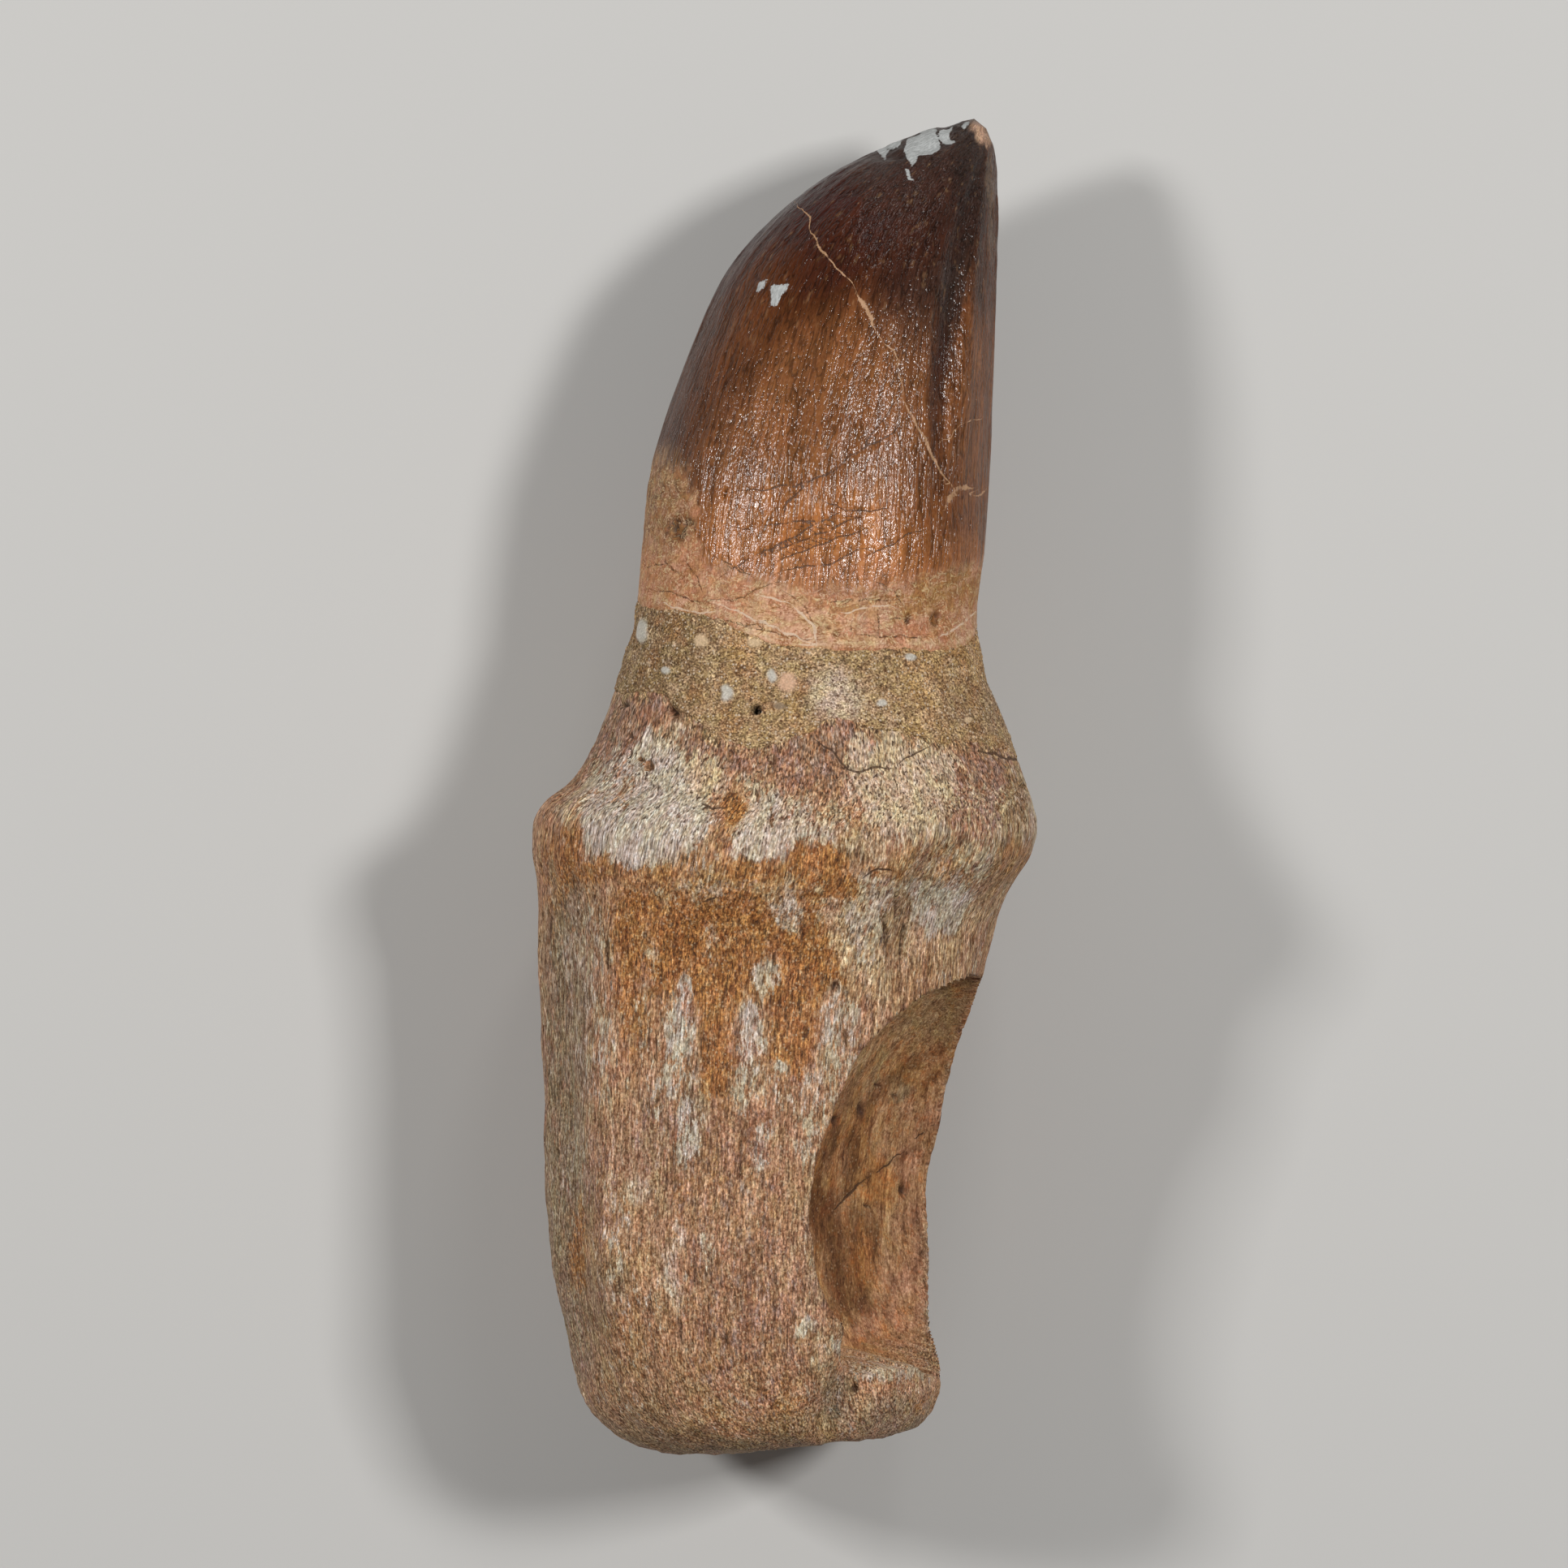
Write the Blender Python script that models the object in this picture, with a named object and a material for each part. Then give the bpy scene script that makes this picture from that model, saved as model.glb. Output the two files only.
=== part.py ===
"""A rooted fossil tooth of a large mosasaur, lying on its side, with sandy matrix round its neck.

The tooth points along +Y and its best side faces up, +Z. It rests on two worn flats on its underside.
Crown and root grew as one piece. The matrix collar is a separate ring of cemented sand in a waist of it.
The origin is on the resting surface, under the middle of the tooth's box.
Sizes are in millimetres until a mesh is made.
"""

import math

import bpy
import numpy as np
from mathutils import Matrix, Vector, noise

MM = 0.001

# Sections of the tooth from the worn base of the root up to the tip of the crown.
# Each has the left edge's x and y, the right edge's x and y, the heights of the upper and the under side
# above the resting surface, and how square the section is, where 2 is an ellipse.
SECTIONS = (
    (-8.9, -57.6, 6.5, -55.9, 24.5, 9.5, 2.0),  # middle of the worn base
    (-11.9, -57.1, 10.6, -55.5, 28.6, 5.5, 2.1),
    (-15.1, -55.4, 12.5, -54.1, 30.8, 3.0, 2.2),
    (-17.4, -52.6, 13.3, -51.3, 32.2, 0.8, 2.3),
    (-18.6, -47.8, 13.3, -47.8, 33.0, -0.9, 2.4),  # rests here
    (-20.1, -38.7, 14.4, -38.7, 33.2, 0.0, 2.4),
    (-20.5, -30.3, 15.6, -30.3, 33.1, 0.9, 2.4),
    (-20.6, -21.2, 16.3, -21.2, 33.0, 1.2, 2.4),
    (-20.8, -12.8, 17.8, -12.8, 33.7, 0.7, 2.4),
    (-21.2, -8.9, 19.3, -8.9, 34.6, 0.0, 2.4),
    (-21.8, -5.4, 21.3, -5.4, 35.6, -0.9, 2.4),  # crest of the swelling, which rests here too
    (-21.7, -3.4, 21.8, -3.4, 35.9, -0.9, 2.3),
    (-20.8, -1.6, 21.5, -1.6, 35.4, 0.2, 2.3),
    (-18.2, 0.6, 20.7, 0.6, 33.9, 1.4, 2.2),
    (-15.9, 4.7, 19.0, 4.7, 31.7, 3.2, 2.1),
    (-14.0, 10.3, 17.1, 10.3, 30.0, 4.6, 2.1),
    (-12.8, 14.6, 16.6, 14.6, 29.4, 5.2, 2.0),  # neck
    (-12.2, 20.5, 17.2, 20.5, 29.2, 5.5, 1.95),
    (-11.3, 27.1, 17.4, 27.1, 28.9, 5.8, 1.9),
    (-9.6, 32.7, 17.6, 32.7, 28.2, 6.4, 1.9),
    (-7.5, 38.3, 17.8, 37.6, 27.2, 7.2, 1.9),
    (-4.9, 43.9, 18.0, 42.5, 25.8, 8.2, 1.9),
    (-1.2, 48.5, 18.1, 46.7, 24.0, 9.4, 1.9),
    (3.4, 52.3, 18.2, 49.9, 22.0, 10.8, 1.95),
    (8.3, 54.9, 18.2, 52.7, 20.0, 12.2, 2.0),
    (12.8, 56.7, 18.0, 55.1, 18.0, 13.6, 2.0),
    (15.3, 57.4, 17.4, 56.7, 16.7, 14.4, 2.0),
)
BASE_POLE = (-1.0, -56.9, 17.0)
TIP_POLE = (16.4, 57.6, 15.5)

# The swelling's crest hangs lower over the upper side than at its two edges.
CREST_Y, CREST_SAG, CREST_REACH = -4.0, 2.2, 9.0

# Long ridges (+) and flutes (-): angle round the tooth from its right edge, half width in degrees,
# height, and the y where each starts and ends.
FLUTES = (
    (90, 8, 0.30, -52, -6),
    (104, 7, -0.35, -50, -7),
    (129, 9, 0.60, -52, -5),
    (150, 9, -0.60, -52, -7),
    (169, 8, 0.40, -50, -6),
    (200, 9, -0.50, -50, -5),
    (222, 9, 0.45, -50, -6),
    (250, 10, -0.35, -44, -10),
    (300, 9, -0.50, -50, -6),
    (325, 9, 0.40, -50, -6),
    (45, 6, -0.45, 26, 56),
    (33, 6, 0.20, 24, 54),
    (1, 5, 0.25, 18, 56),
    (180, 5, 0.25, 18, 55),
)
FLUTE_FADE = 9.0

# Valleys seen on the upper side: half width, depth, then the x and y that each runs through.
VALLEYS = (
    (1.5, 0.90, ((16.6, -4.6), (12.5, -7.2), (10.6, -10.7), (9.8, -16.3), (9.4, -20.5))),
    (2.0, 2.20, ((7.4, -45.6), (5.9, -50.2), (4.6, -53.2), (2.6, -56.4))),
)
# Shallow hollows of the upper side: x, y, half sizes, depth.
HOLLOWS = (
    (13.8, -9.9, 3.4, 4.6, 1.10),
    (-17.6, -9.5, 2.6, 3.8, 0.50),
    (-3.0, -15.0, 7.0, 7.5, 0.35),
)
# Lumps all over the bone, and finer ones, as heights and the distance from one to the next.
LUMPS = ((0.30, 9.0), (0.14, 4.0))
LUMPS_ON_CROWN = 0.25  # share of their height that is left on the smooth crown

# The hollow that a replacement tooth dissolved in the root's right side, as two bowls, the second deeper.
# Each has its centre, half sizes into the root, along it and across the mouth, how far the mouth turns up
# from +X, and how far its upper end leans to the right.
BOWLS = (
    ((10.9, -34.0, 21.0), (9.3, 19.0, 15.3), 22.0, 13.0),
    ((9.6, -37.6, 21.0), (9.4, 13.5, 12.0), 25.0, 13.0),
)

# The matrix collar. Each edge is the angle round the tooth and the y at that angle.
CROWN_EDGE = (
    (0, 14.0), (12, 13.0), (27, 12.0), (45, 11.7), (74, 11.7), (95, 12.1), (108, 12.9), (120, 14.2),
    (135, 14.8), (155, 15.2), (180, 15.9), (210, 15.2), (240, 14.0), (270, 13.0), (300, 12.4), (335, 13.0),
)
ROOT_EDGE = (
    (0, 2.3), (14, 2.8), (30, 3.6), (50, 4.4), (68, 5.3), (82, 6.3), (90, 5.2), (102, 4.3), (115, 4.9),
    (126, 6.6), (138, 8.1), (160, 8.0), (180, 8.1), (205, 7.4), (235, 6.0), (262, 4.8), (290, 5.0),
    (320, 3.6), (345, 2.6),
)
COLLAR_THICK = 1.6
CLEARANCE = 0.3  # between the collar and the waist that it lies in

BONE_COLOUR, BONE_ROUGHNESS = (0.30, 0.19, 0.11), 0.6
SAND_COLOUR, SAND_ROUGHNESS = (0.31, 0.20, 0.10), 0.9

AROUND = 64  # points round each section
# Rows of points along the tooth, from the base up, and the stretches that they lie in.
BASE_ROWS, SHAFT_ROWS, SHOULDER_ROWS, WAIST_ROWS, CROWN_ROWS, TIP_ROWS = 8, 18, 5, 4, 5, 16
ROUNDED_SECTIONS = 4  # the sections that turn over into the worn base
ROOT_WARP_FROM_Y, CROWN_WARP_TO_Y = -3.4, 24.0  # where the rows begin and cease to follow the collar's edges
CUTTER_AROUND = 40
SHARP_FROM = math.radians(50)


def smooth_through(knots, values, at):
    """Values of a curve through the knots that never swings past them, at the places given."""
    knots = np.asarray(knots, float)
    values = np.asarray(values, float)
    gap = np.diff(knots)
    slope = np.diff(values) / gap
    rate = np.zeros(len(knots))
    rate[0], rate[-1] = slope[0], slope[-1]
    same_way = slope[:-1] * slope[1:] > 0
    before, after = 2 * gap[1:] + gap[:-1], gap[1:] + 2 * gap[:-1]
    with np.errstate(divide="ignore", invalid="ignore"):
        mean = (before + after) / (before / slope[:-1] + after / slope[1:])
    rate[1:-1] = np.where(same_way, mean, 0.0)
    at = np.clip(at, knots[0], knots[-1])
    i = np.clip(np.searchsorted(knots, at, side="right") - 1, 0, len(knots) - 2)
    u = (at - knots[i]) / gap[i]
    start = (1 + 2 * u) * (1 - u) ** 2 * values[i] + u * (1 - u) ** 2 * gap[i] * rate[i]
    end = u * u * (3 - 2 * u) * values[i + 1] + u * u * (u - 1) * gap[i] * rate[i + 1]
    return start + end


def smooth_round(edge, angles):
    """The y of a collar edge at each angle, in radians. The edge closes on itself."""
    degrees, heights = np.array(edge, float).T
    knots = np.concatenate([degrees[-2:] - 360, degrees, degrees[:2] + 360])
    values = np.concatenate([heights[-2:], heights, heights[:2]])
    return smooth_through(knots, values, np.degrees(angles) % 360)


def even(count):
    """Shares from 0 to 1 in this many equal steps."""
    return np.linspace(0, 1, count + 1)


def ease(value, start, end):
    """0 before start, 1 after end, and a smooth step between them."""
    u = np.clip((value - start) / (end - start), 0, 1)
    return u * u * (3 - 2 * u)


TABLE = np.array(SECTIONS)
MIDDLES = (TABLE[:, 0:2] + TABLE[:, 2:4]) / 2
# How far along the tooth's middle line each section lies, from the base.
ALONG = np.concatenate([[0], np.cumsum(np.linalg.norm(np.diff(MIDDLES, axis=0), axis=1))])


def along_at(y):
    """Distance along the middle line where its y is this one."""
    return np.interp(y, MIDDLES[:, 1], ALONG)


def distance_to_line(x, y, points):
    """How far each x and y is from a line through the points, and the nearest place's share of its length."""
    points = np.array(points, float)
    lengths = np.linalg.norm(np.diff(points, axis=0), axis=1)
    passed = np.concatenate([[0], np.cumsum(lengths)])
    nearest = np.full(x.shape, 1e9)
    share = np.zeros(x.shape)
    for start, end, length, before in zip(points[:-1], points[1:], lengths, passed):
        run = (end - start) / length
        u = np.clip((x - start[0]) * run[0] + (y - start[1]) * run[1], 0, length)
        away = np.hypot(x - start[0] - u * run[0], y - start[1] - u * run[1])
        closer = away < nearest
        nearest = np.where(closer, away, nearest)
        share = np.where(closer, (before + u) / passed[-1], share)
    return nearest, share


def noise_at(points, step):
    """Smooth noise from -1 to 1 at points given in millimetres, with its lumps about one step apart."""
    flat = points.reshape(-1, 3) / step
    return np.array([noise.noise(Vector(p)) for p in flat]).reshape(points.shape[:-1])


def relief(points, angles, middle_z):
    """How far the surface stands out of its smooth section at each point."""
    x, y, z = points[..., 0], points[..., 1], points[..., 2]
    up = ease(z - middle_z, 0.0, 5.0)
    height = np.zeros(x.shape)
    degrees = np.degrees(angles) % 360
    for centre, half_width, tall, start, end in FLUTES:
        away = (degrees - centre + 180) % 360 - 180
        fade = ease(y, start, start + FLUTE_FADE) * (1 - ease(y, end - FLUTE_FADE, end))
        height += tall * np.exp(-((away / half_width) ** 2)) * fade
    for half_width, deep, line in VALLEYS:
        away, share = distance_to_line(x, y, line)
        fade = ease(share, 0, 0.2) * (1 - ease(share, 0.7, 1.0))
        height -= deep * np.exp(-((away / half_width) ** 2)) * fade * up
    for centre_x, centre_y, half_x, half_y, deep in HOLLOWS:
        away = ((x - centre_x) / half_x) ** 2 + ((y - centre_y) / half_y) ** 2
        height -= deep * np.exp(-away) * up
    rough = 1 - (1 - LUMPS_ON_CROWN) * ease(y, 3.0, 14.0)
    for tall, step in LUMPS:
        height += tall * rough * noise_at(points, step)
    return height


def surface(along, angles, inset=0.0):
    """Points of the tooth's outside, or this far inside it, at places along its middle line and round it."""
    along, angles = np.broadcast_arrays(along, angles)
    left_x, left_y, right_x, right_y, top, under, square = (
        smooth_through(ALONG, TABLE[:, column], along) for column in range(TABLE.shape[1])
    )
    across = np.sign(np.cos(angles)) * np.abs(np.cos(angles)) ** (2 / square)
    upward = np.sign(np.sin(angles)) * np.abs(np.sin(angles)) ** (2 / square)
    middle = np.stack([(left_x + right_x) / 2, (left_y + right_y) / 2, (top + under) / 2], axis=-1)
    half = np.stack([(right_x - left_x) / 2, (right_y - left_y) / 2], axis=-1)
    points = middle.copy()
    points[..., 0:2] += half * across[..., None]
    points[..., 2] += (top - under) / 2 * upward
    near_crest = np.exp(-(((points[..., 1] - CREST_Y) / CREST_REACH) ** 2))
    points[..., 1] -= CREST_SAG * np.clip(np.sin(angles), 0, 1) ** 2 * near_crest
    out = points - middle
    out[..., 1] = 0
    out /= np.linalg.norm(out, axis=-1, keepdims=True)
    points += out * (relief(points, angles, middle[..., 2]) - inset)[..., None]
    points[..., 2] = np.maximum(points[..., 2], 0)
    return points


def rows_between(start, end, shares, angles, inset=0.0):
    """Rows of points at shares of the way from start to end, which may both change round the tooth."""
    return surface(start + np.asarray(shares)[:, None] * (end - start + 0 * angles), angles, inset)


def solid_from_rows(name, rows, material, poles=()):
    """A closed mesh object through rows of points. Poles cap it. Without them its rows close in a loop."""
    count, around = rows.shape[:2]
    corners = [tuple(p) for p in rows.reshape(-1, 3) * MM]
    corners += [tuple(MM * c for c in pole) for pole in poles]
    faces = []
    for row in range(count - 1 if poles else count):
        near, far = row * around, ((row + 1) % count) * around
        for k in range(around):
            after = (k + 1) % around
            faces.append((near + k, far + k, far + after, near + after))
    if poles:
        base, tip, last = count * around, count * around + 1, (count - 1) * around
        for k in range(around):
            after = (k + 1) % around
            faces.append((base, k, after))
            faces.append((tip, last + after, last + k))
    mesh = bpy.data.meshes.new(name)
    mesh.from_pydata(corners, [], faces)
    mesh.shade_smooth()
    mesh.set_sharp_from_angle(angle=SHARP_FROM)
    mesh.materials.append(material)
    obj = bpy.data.objects.new(name, mesh)
    bpy.context.scene.collection.objects.link(obj)
    return obj


def plain_material(name, colour, roughness):
    material = bpy.data.materials.new(name)
    material.use_nodes = True
    shader = material.node_tree.nodes["Principled BSDF"]
    shader.inputs["Base Color"].default_value = (*colour, 1)
    shader.inputs["Roughness"].default_value = roughness
    shader.inputs["Metallic"].default_value = 0
    return material


def make_tooth(angles, root_edge, crown_edge):
    """Crown and root in one solid, with a waist for the matrix."""
    rounded_to = ALONG[ROUNDED_SECTIONS]
    warp_from, warp_to = along_at(ROOT_WARP_FROM_Y), along_at(CROWN_WARP_TO_Y)
    closing_in = np.sin(np.linspace(0, math.pi / 2, TIP_ROWS + 1))
    rows = [
        rows_between(0, rounded_to, even(BASE_ROWS), angles),
        rows_between(rounded_to, warp_from, even(SHAFT_ROWS)[1:], angles),
        rows_between(warp_from, root_edge, even(SHOULDER_ROWS)[1:], angles),
        rows_between(root_edge, crown_edge, even(WAIST_ROWS), angles, inset=COLLAR_THICK + CLEARANCE),
        rows_between(crown_edge, warp_to, even(CROWN_ROWS), angles),
        rows_between(warp_to, ALONG[-1], closing_in[1:], angles),
    ]
    material = plain_material("root_bone", BONE_COLOUR, BONE_ROUGHNESS)
    return solid_from_rows("tooth", np.concatenate(rows), material, poles=(BASE_POLE, TIP_POLE))


def make_collar(angles, root_edge, crown_edge):
    """The ring of cemented sand, clear of its waist on every side."""
    low, high = root_edge + CLEARANCE, crown_edge - CLEARANCE
    outside = rows_between(low, high, even(WAIST_ROWS), angles)
    inside = rows_between(high, low, even(WAIST_ROWS), angles, inset=COLLAR_THICK)
    material = plain_material("sandy_matrix", SAND_COLOUR, SAND_ROUGHNESS)
    return solid_from_rows("matrix_collar", np.concatenate([outside, inside]), material)


def cut_bowl(tooth, number, centre, half_sizes, faces_up, leans):
    """Hollows the tooth with a leaning egg-shaped cutter."""
    bpy.ops.mesh.primitive_uv_sphere_add(segments=CUTTER_AROUND, ring_count=CUTTER_AROUND // 2, radius=1.0)
    cutter = bpy.context.object
    cutter.name = f"bowl_cutter_{number}"
    into, along_root, across = (size * MM for size in half_sizes)
    turn = Matrix.Rotation(math.radians(-faces_up), 4, "Y")
    lean = Matrix.Rotation(math.radians(-leans), 4, "Z")
    cutter.data.transform(lean @ turn @ Matrix.Diagonal((into, along_root, across, 1.0)))
    cutter.location = Vector(centre) * MM
    cutter.hide_render = True
    cutter.display_type = "WIRE"
    cut = tooth.modifiers.new(f"bowl_{number}", "BOOLEAN")
    cut.operation = "DIFFERENCE"
    cut.object = cutter


def main():
    for obj in list(bpy.data.objects):
        bpy.data.objects.remove(obj)
    angles = np.linspace(0, 2 * math.pi, AROUND, endpoint=False)
    root_edge = along_at(smooth_round(ROOT_EDGE, angles))
    crown_edge = along_at(smooth_round(CROWN_EDGE, angles))
    tooth = make_tooth(angles, root_edge, crown_edge)
    make_collar(angles, root_edge, crown_edge)
    for number, bowl in enumerate(BOWLS):
        cut_bowl(tooth, number, *bowl)


main()
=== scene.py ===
"""The looks of a rooted fossil mosasaur tooth on its side: enamel crown, sandy collar and bony root.

The shape repeats the solid's sections, flutes and bowls, on a grid fine enough for wrinkles, fibres and
grains. Features that were placed one by one are given in pixels of the 1932 pixel photograph, and the camera
looks straight down, so pixel() gives the place in it at which a point is seen. Other sizes are in
millimetres until a mesh is made.
"""

import math

import bpy
import numpy as np
from mathutils import Matrix, Vector, noise


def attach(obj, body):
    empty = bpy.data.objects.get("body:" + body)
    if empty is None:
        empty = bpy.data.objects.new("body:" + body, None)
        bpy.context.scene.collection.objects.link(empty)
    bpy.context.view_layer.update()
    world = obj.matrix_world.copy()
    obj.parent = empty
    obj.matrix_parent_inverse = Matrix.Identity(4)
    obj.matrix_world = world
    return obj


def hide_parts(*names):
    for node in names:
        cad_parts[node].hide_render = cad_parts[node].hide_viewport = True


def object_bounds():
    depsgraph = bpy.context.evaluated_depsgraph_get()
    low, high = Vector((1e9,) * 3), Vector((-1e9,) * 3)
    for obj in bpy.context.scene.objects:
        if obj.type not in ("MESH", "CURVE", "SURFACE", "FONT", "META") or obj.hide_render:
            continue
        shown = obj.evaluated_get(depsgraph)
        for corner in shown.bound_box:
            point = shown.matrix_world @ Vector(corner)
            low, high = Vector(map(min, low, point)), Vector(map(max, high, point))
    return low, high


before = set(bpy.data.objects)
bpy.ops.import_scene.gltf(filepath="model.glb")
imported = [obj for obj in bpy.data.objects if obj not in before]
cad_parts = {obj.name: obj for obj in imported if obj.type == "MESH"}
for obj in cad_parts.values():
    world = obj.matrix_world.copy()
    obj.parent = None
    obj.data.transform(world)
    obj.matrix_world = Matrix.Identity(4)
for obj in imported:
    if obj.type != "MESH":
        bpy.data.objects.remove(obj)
cad_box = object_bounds()

MM = 0.001
PIXEL_MM = 0.07
PHOTO_PIXELS = 1932
PHOTO_ORIGIN = (966.5, 967.5)  # the pixel that the frame's origin is seen at
MIDDLE_HEIGHT = 17.0  # of the tooth above the resting surface

# Sections of the tooth from the worn base of the root up to the tip of the crown: the left edge's x and y,
# the right edge's x and y, the heights of the upper and the under side, and how square the section is.
SECTIONS = (
    (-8.9, -57.6, 6.5, -55.9, 24.5, 9.5, 2.0), (-11.9, -57.1, 10.6, -55.5, 28.6, 5.5, 2.1),
    (-15.1, -55.4, 12.5, -54.1, 30.8, 3.0, 2.2), (-17.4, -52.6, 13.3, -51.3, 32.2, 0.8, 2.3),
    (-18.6, -47.8, 13.3, -47.8, 33.0, -0.9, 2.4), (-20.1, -38.7, 14.4, -38.7, 33.2, 0.0, 2.4),
    (-20.5, -30.3, 15.6, -30.3, 33.1, 0.9, 2.4), (-20.6, -21.2, 16.3, -21.2, 33.0, 1.2, 2.4),
    (-20.8, -12.8, 17.8, -12.8, 33.7, 0.7, 2.4), (-21.2, -8.9, 19.3, -8.9, 34.6, 0.0, 2.4),
    (-21.8, -5.4, 21.3, -5.4, 35.6, -0.9, 2.4), (-21.7, -3.4, 21.8, -3.4, 35.9, -0.9, 2.3),
    (-20.8, -1.6, 21.5, -1.6, 35.4, 0.2, 2.3), (-18.2, 0.6, 20.7, 0.6, 33.9, 1.4, 2.2),
    (-15.9, 4.7, 19.0, 4.7, 31.7, 3.2, 2.1), (-14.0, 10.3, 17.1, 10.3, 30.0, 4.6, 2.1),
    (-12.8, 14.6, 16.6, 14.6, 29.4, 5.2, 2.0), (-12.2, 20.5, 17.2, 20.5, 29.2, 5.5, 1.95),
    (-11.3, 27.1, 17.4, 27.1, 28.9, 5.8, 1.9), (-9.6, 32.7, 17.6, 32.7, 28.2, 6.4, 1.9),
    (-7.5, 38.3, 17.8, 37.6, 27.2, 7.2, 1.9), (-4.9, 43.9, 18.0, 42.5, 25.8, 8.2, 1.9),
    (-1.2, 48.5, 18.1, 46.7, 24.0, 9.4, 1.9), (3.4, 52.3, 18.2, 49.9, 22.0, 10.8, 1.95),
    (8.3, 54.9, 18.2, 52.7, 20.0, 12.2, 2.0), (12.8, 56.7, 18.0, 55.1, 18.0, 13.6, 2.0),
    (15.3, 57.4, 17.4, 56.7, 16.7, 14.4, 2.0),
)
BASE_POLE = (-1.0, -56.9, 17.0)
TIP_POLE = (16.4, 57.6, 15.5)
CREST_Y, CREST_SAG, CREST_REACH = -4.0, 2.2, 9.0

# Long ridges (+) and flutes (-): angle round the tooth, half width in degrees, height, and the y's it spans.
FLUTES = (
    (90, 8, 0.3, -52, -6), (104, 7, -0.35, -50, -7), (129, 9, 0.6, -52, -5), (150, 9, -0.6, -52, -7),
    (169, 8, 0.4, -50, -6), (200, 9, -0.5, -50, -5), (222, 9, 0.45, -50, -6), (250, 10, -0.35, -44, -10),
    (300, 9, -0.5, -50, -6), (325, 9, 0.4, -50, -6), (45, 6, -0.45, 26, 56), (33, 6, 0.2, 24, 54),
    (1, 5, 0.25, 18, 56), (180, 5, 0.25, 18, 55),
)
FLUTE_FADE = 9.0
VALLEYS = (
    (1.5, 0.90, ((16.6, -4.6), (12.5, -7.2), (10.6, -10.7), (9.8, -16.3), (9.4, -20.5))),
    (2.0, 2.20, ((7.4, -45.6), (5.9, -50.2), (4.6, -53.2), (2.6, -56.4))),
)
HOLLOWS = (
    (13.8, -9.9, 3.4, 4.6, 1.1), (-17.6, -9.5, 2.6, 3.8, 0.5), (-3.0, -15.0, 7.0, 7.5, 0.35),
)
LUMPS = ((0.30, 9.0), (0.14, 4.0))
LUMPS_ON_CROWN = 0.25
BOWLS = (
    ((10.9, -34.0, 21.0), (9.3, 19.0, 15.3), 22.0, 13.0),
    ((9.6, -37.6, 21.0), (9.4, 13.5, 12.0), 25.0, 13.0),
)
CROWN_EDGE = (
    (0, 14.0), (12, 13.0), (27, 12.0), (45, 11.7), (74, 11.7), (95, 12.1), (108, 12.9), (120, 14.2),
    (135, 14.8), (155, 15.2), (180, 15.9), (210, 15.2), (240, 14.0), (270, 13.0), (300, 12.4), (335, 13.0),
)
ROOT_EDGE = (
    (0, 2.3), (14, 2.8), (30, 3.6), (50, 4.4), (68, 5.3), (82, 6.3), (90, 5.2), (102, 4.3), (115, 4.9),
    (126, 6.6), (138, 8.1), (160, 8.0), (180, 8.1), (205, 7.4), (235, 6.0), (262, 4.8), (290, 5.0),
    (320, 3.6), (345, 2.6),
)

# Points round each piece and rows along it. Each stays under 200,000 triangles.
ROOT_GRID, CROWN_GRID, COLLAR_GRID = (470, 208), (500, 197), (660, 132)
UPPER_SHARE = 1.7  # how much closer the points lie on the upper side than on the underside
TUCK = 1.1  # how deep the crown and the root go in under the collar
TUCK_RUN = 1.6  # over this length
SKIN_LOWERED = 0.04  # keeps the root's grain inside the solid's outline

# Colours, as the surfaces are under plain white light.
# The two dark enamel colours near the tip are partly the enamel's own near black and partly a painted purple
# sheen lifted into it.
TIP_BLACK_AND_SHEEN = (0.028, 0.015, 0.011)
PURPLE_BLACK_AND_SHEEN = (0.045, 0.022, 0.016)
CROWN_DARK = (0.038, 0.008, 0.002)
CROWN_RED = (0.1, 0.03, 0.008)
CROWN_BROWN = (0.205, 0.077, 0.026)
CROWN_ORANGE = (0.37, 0.138, 0.042)
DENTINE = (0.43, 0.19, 0.092)
DENTINE_PALE = (0.54, 0.32, 0.19)
CHALK = (0.43, 0.44, 0.43)
FILLING = (0.42, 0.24, 0.115)
OCHRE = (0.44, 0.235, 0.08)
SAND = (0.335, 0.216, 0.108)
PURPLE = (0.29, 0.182, 0.135)
RED_BONE = (0.31, 0.148, 0.078)
WHITE_BONE = (0.59, 0.495, 0.405)
CREAM = (0.6, 0.43, 0.26)
BROWN = (0.27, 0.105, 0.03)
RUST = (0.4, 0.175, 0.055)
GREY_TAN = (0.25, 0.18, 0.115)
PINK_TAN = (0.4, 0.208, 0.112)
LOW_TAN = (0.33, 0.19, 0.1)
KHAKI = (0.285, 0.18, 0.085)
UMBER = (0.12, 0.045, 0.012)
SLIT_DARK = (0.06, 0.026, 0.012)
PEBBLE_GREY = (0.52, 0.49, 0.43)
PEBBLE_PINK = (0.6, 0.37, 0.24)
ROSE_WHITE = (0.5, 0.39, 0.33)
LOST_BROWN = (0.2, 0.095, 0.036)
GOLDEN = (0.33, 0.158, 0.052)
PIT_TAN = (0.35, 0.196, 0.088)
DARKER = (0.48, 0.36, 0.26)  # what a colour is multiplied by in its dark specks
LIGHTER = (1.5, 1.72, 1.95)  # and in its light ones
PIT_DARKER, PIT_LIGHTER, PIT_REDDER = (0.42, 0.32, 0.24), (1.35, 1.45, 1.5), (1.1, 0.8, 0.55)
ROSE_CAST = (1.06, 0.96, 0.99)
GOLD_CAST = (0.99, 1.0, 0.8)
VEIN_WHITE = (0.68, 0.51, 0.37)
HOLE_SHADE_BLACK = (0.01, 0.008, 0.006)
TINT_LIMITS = (0.005, 0.9)


def ease(value, start, end):
    """0 before start, 1 after end, and a smooth step between them."""
    u = np.clip((value - start) / (end - start), 0, 1)
    return u * u * (3 - 2 * u)


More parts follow.
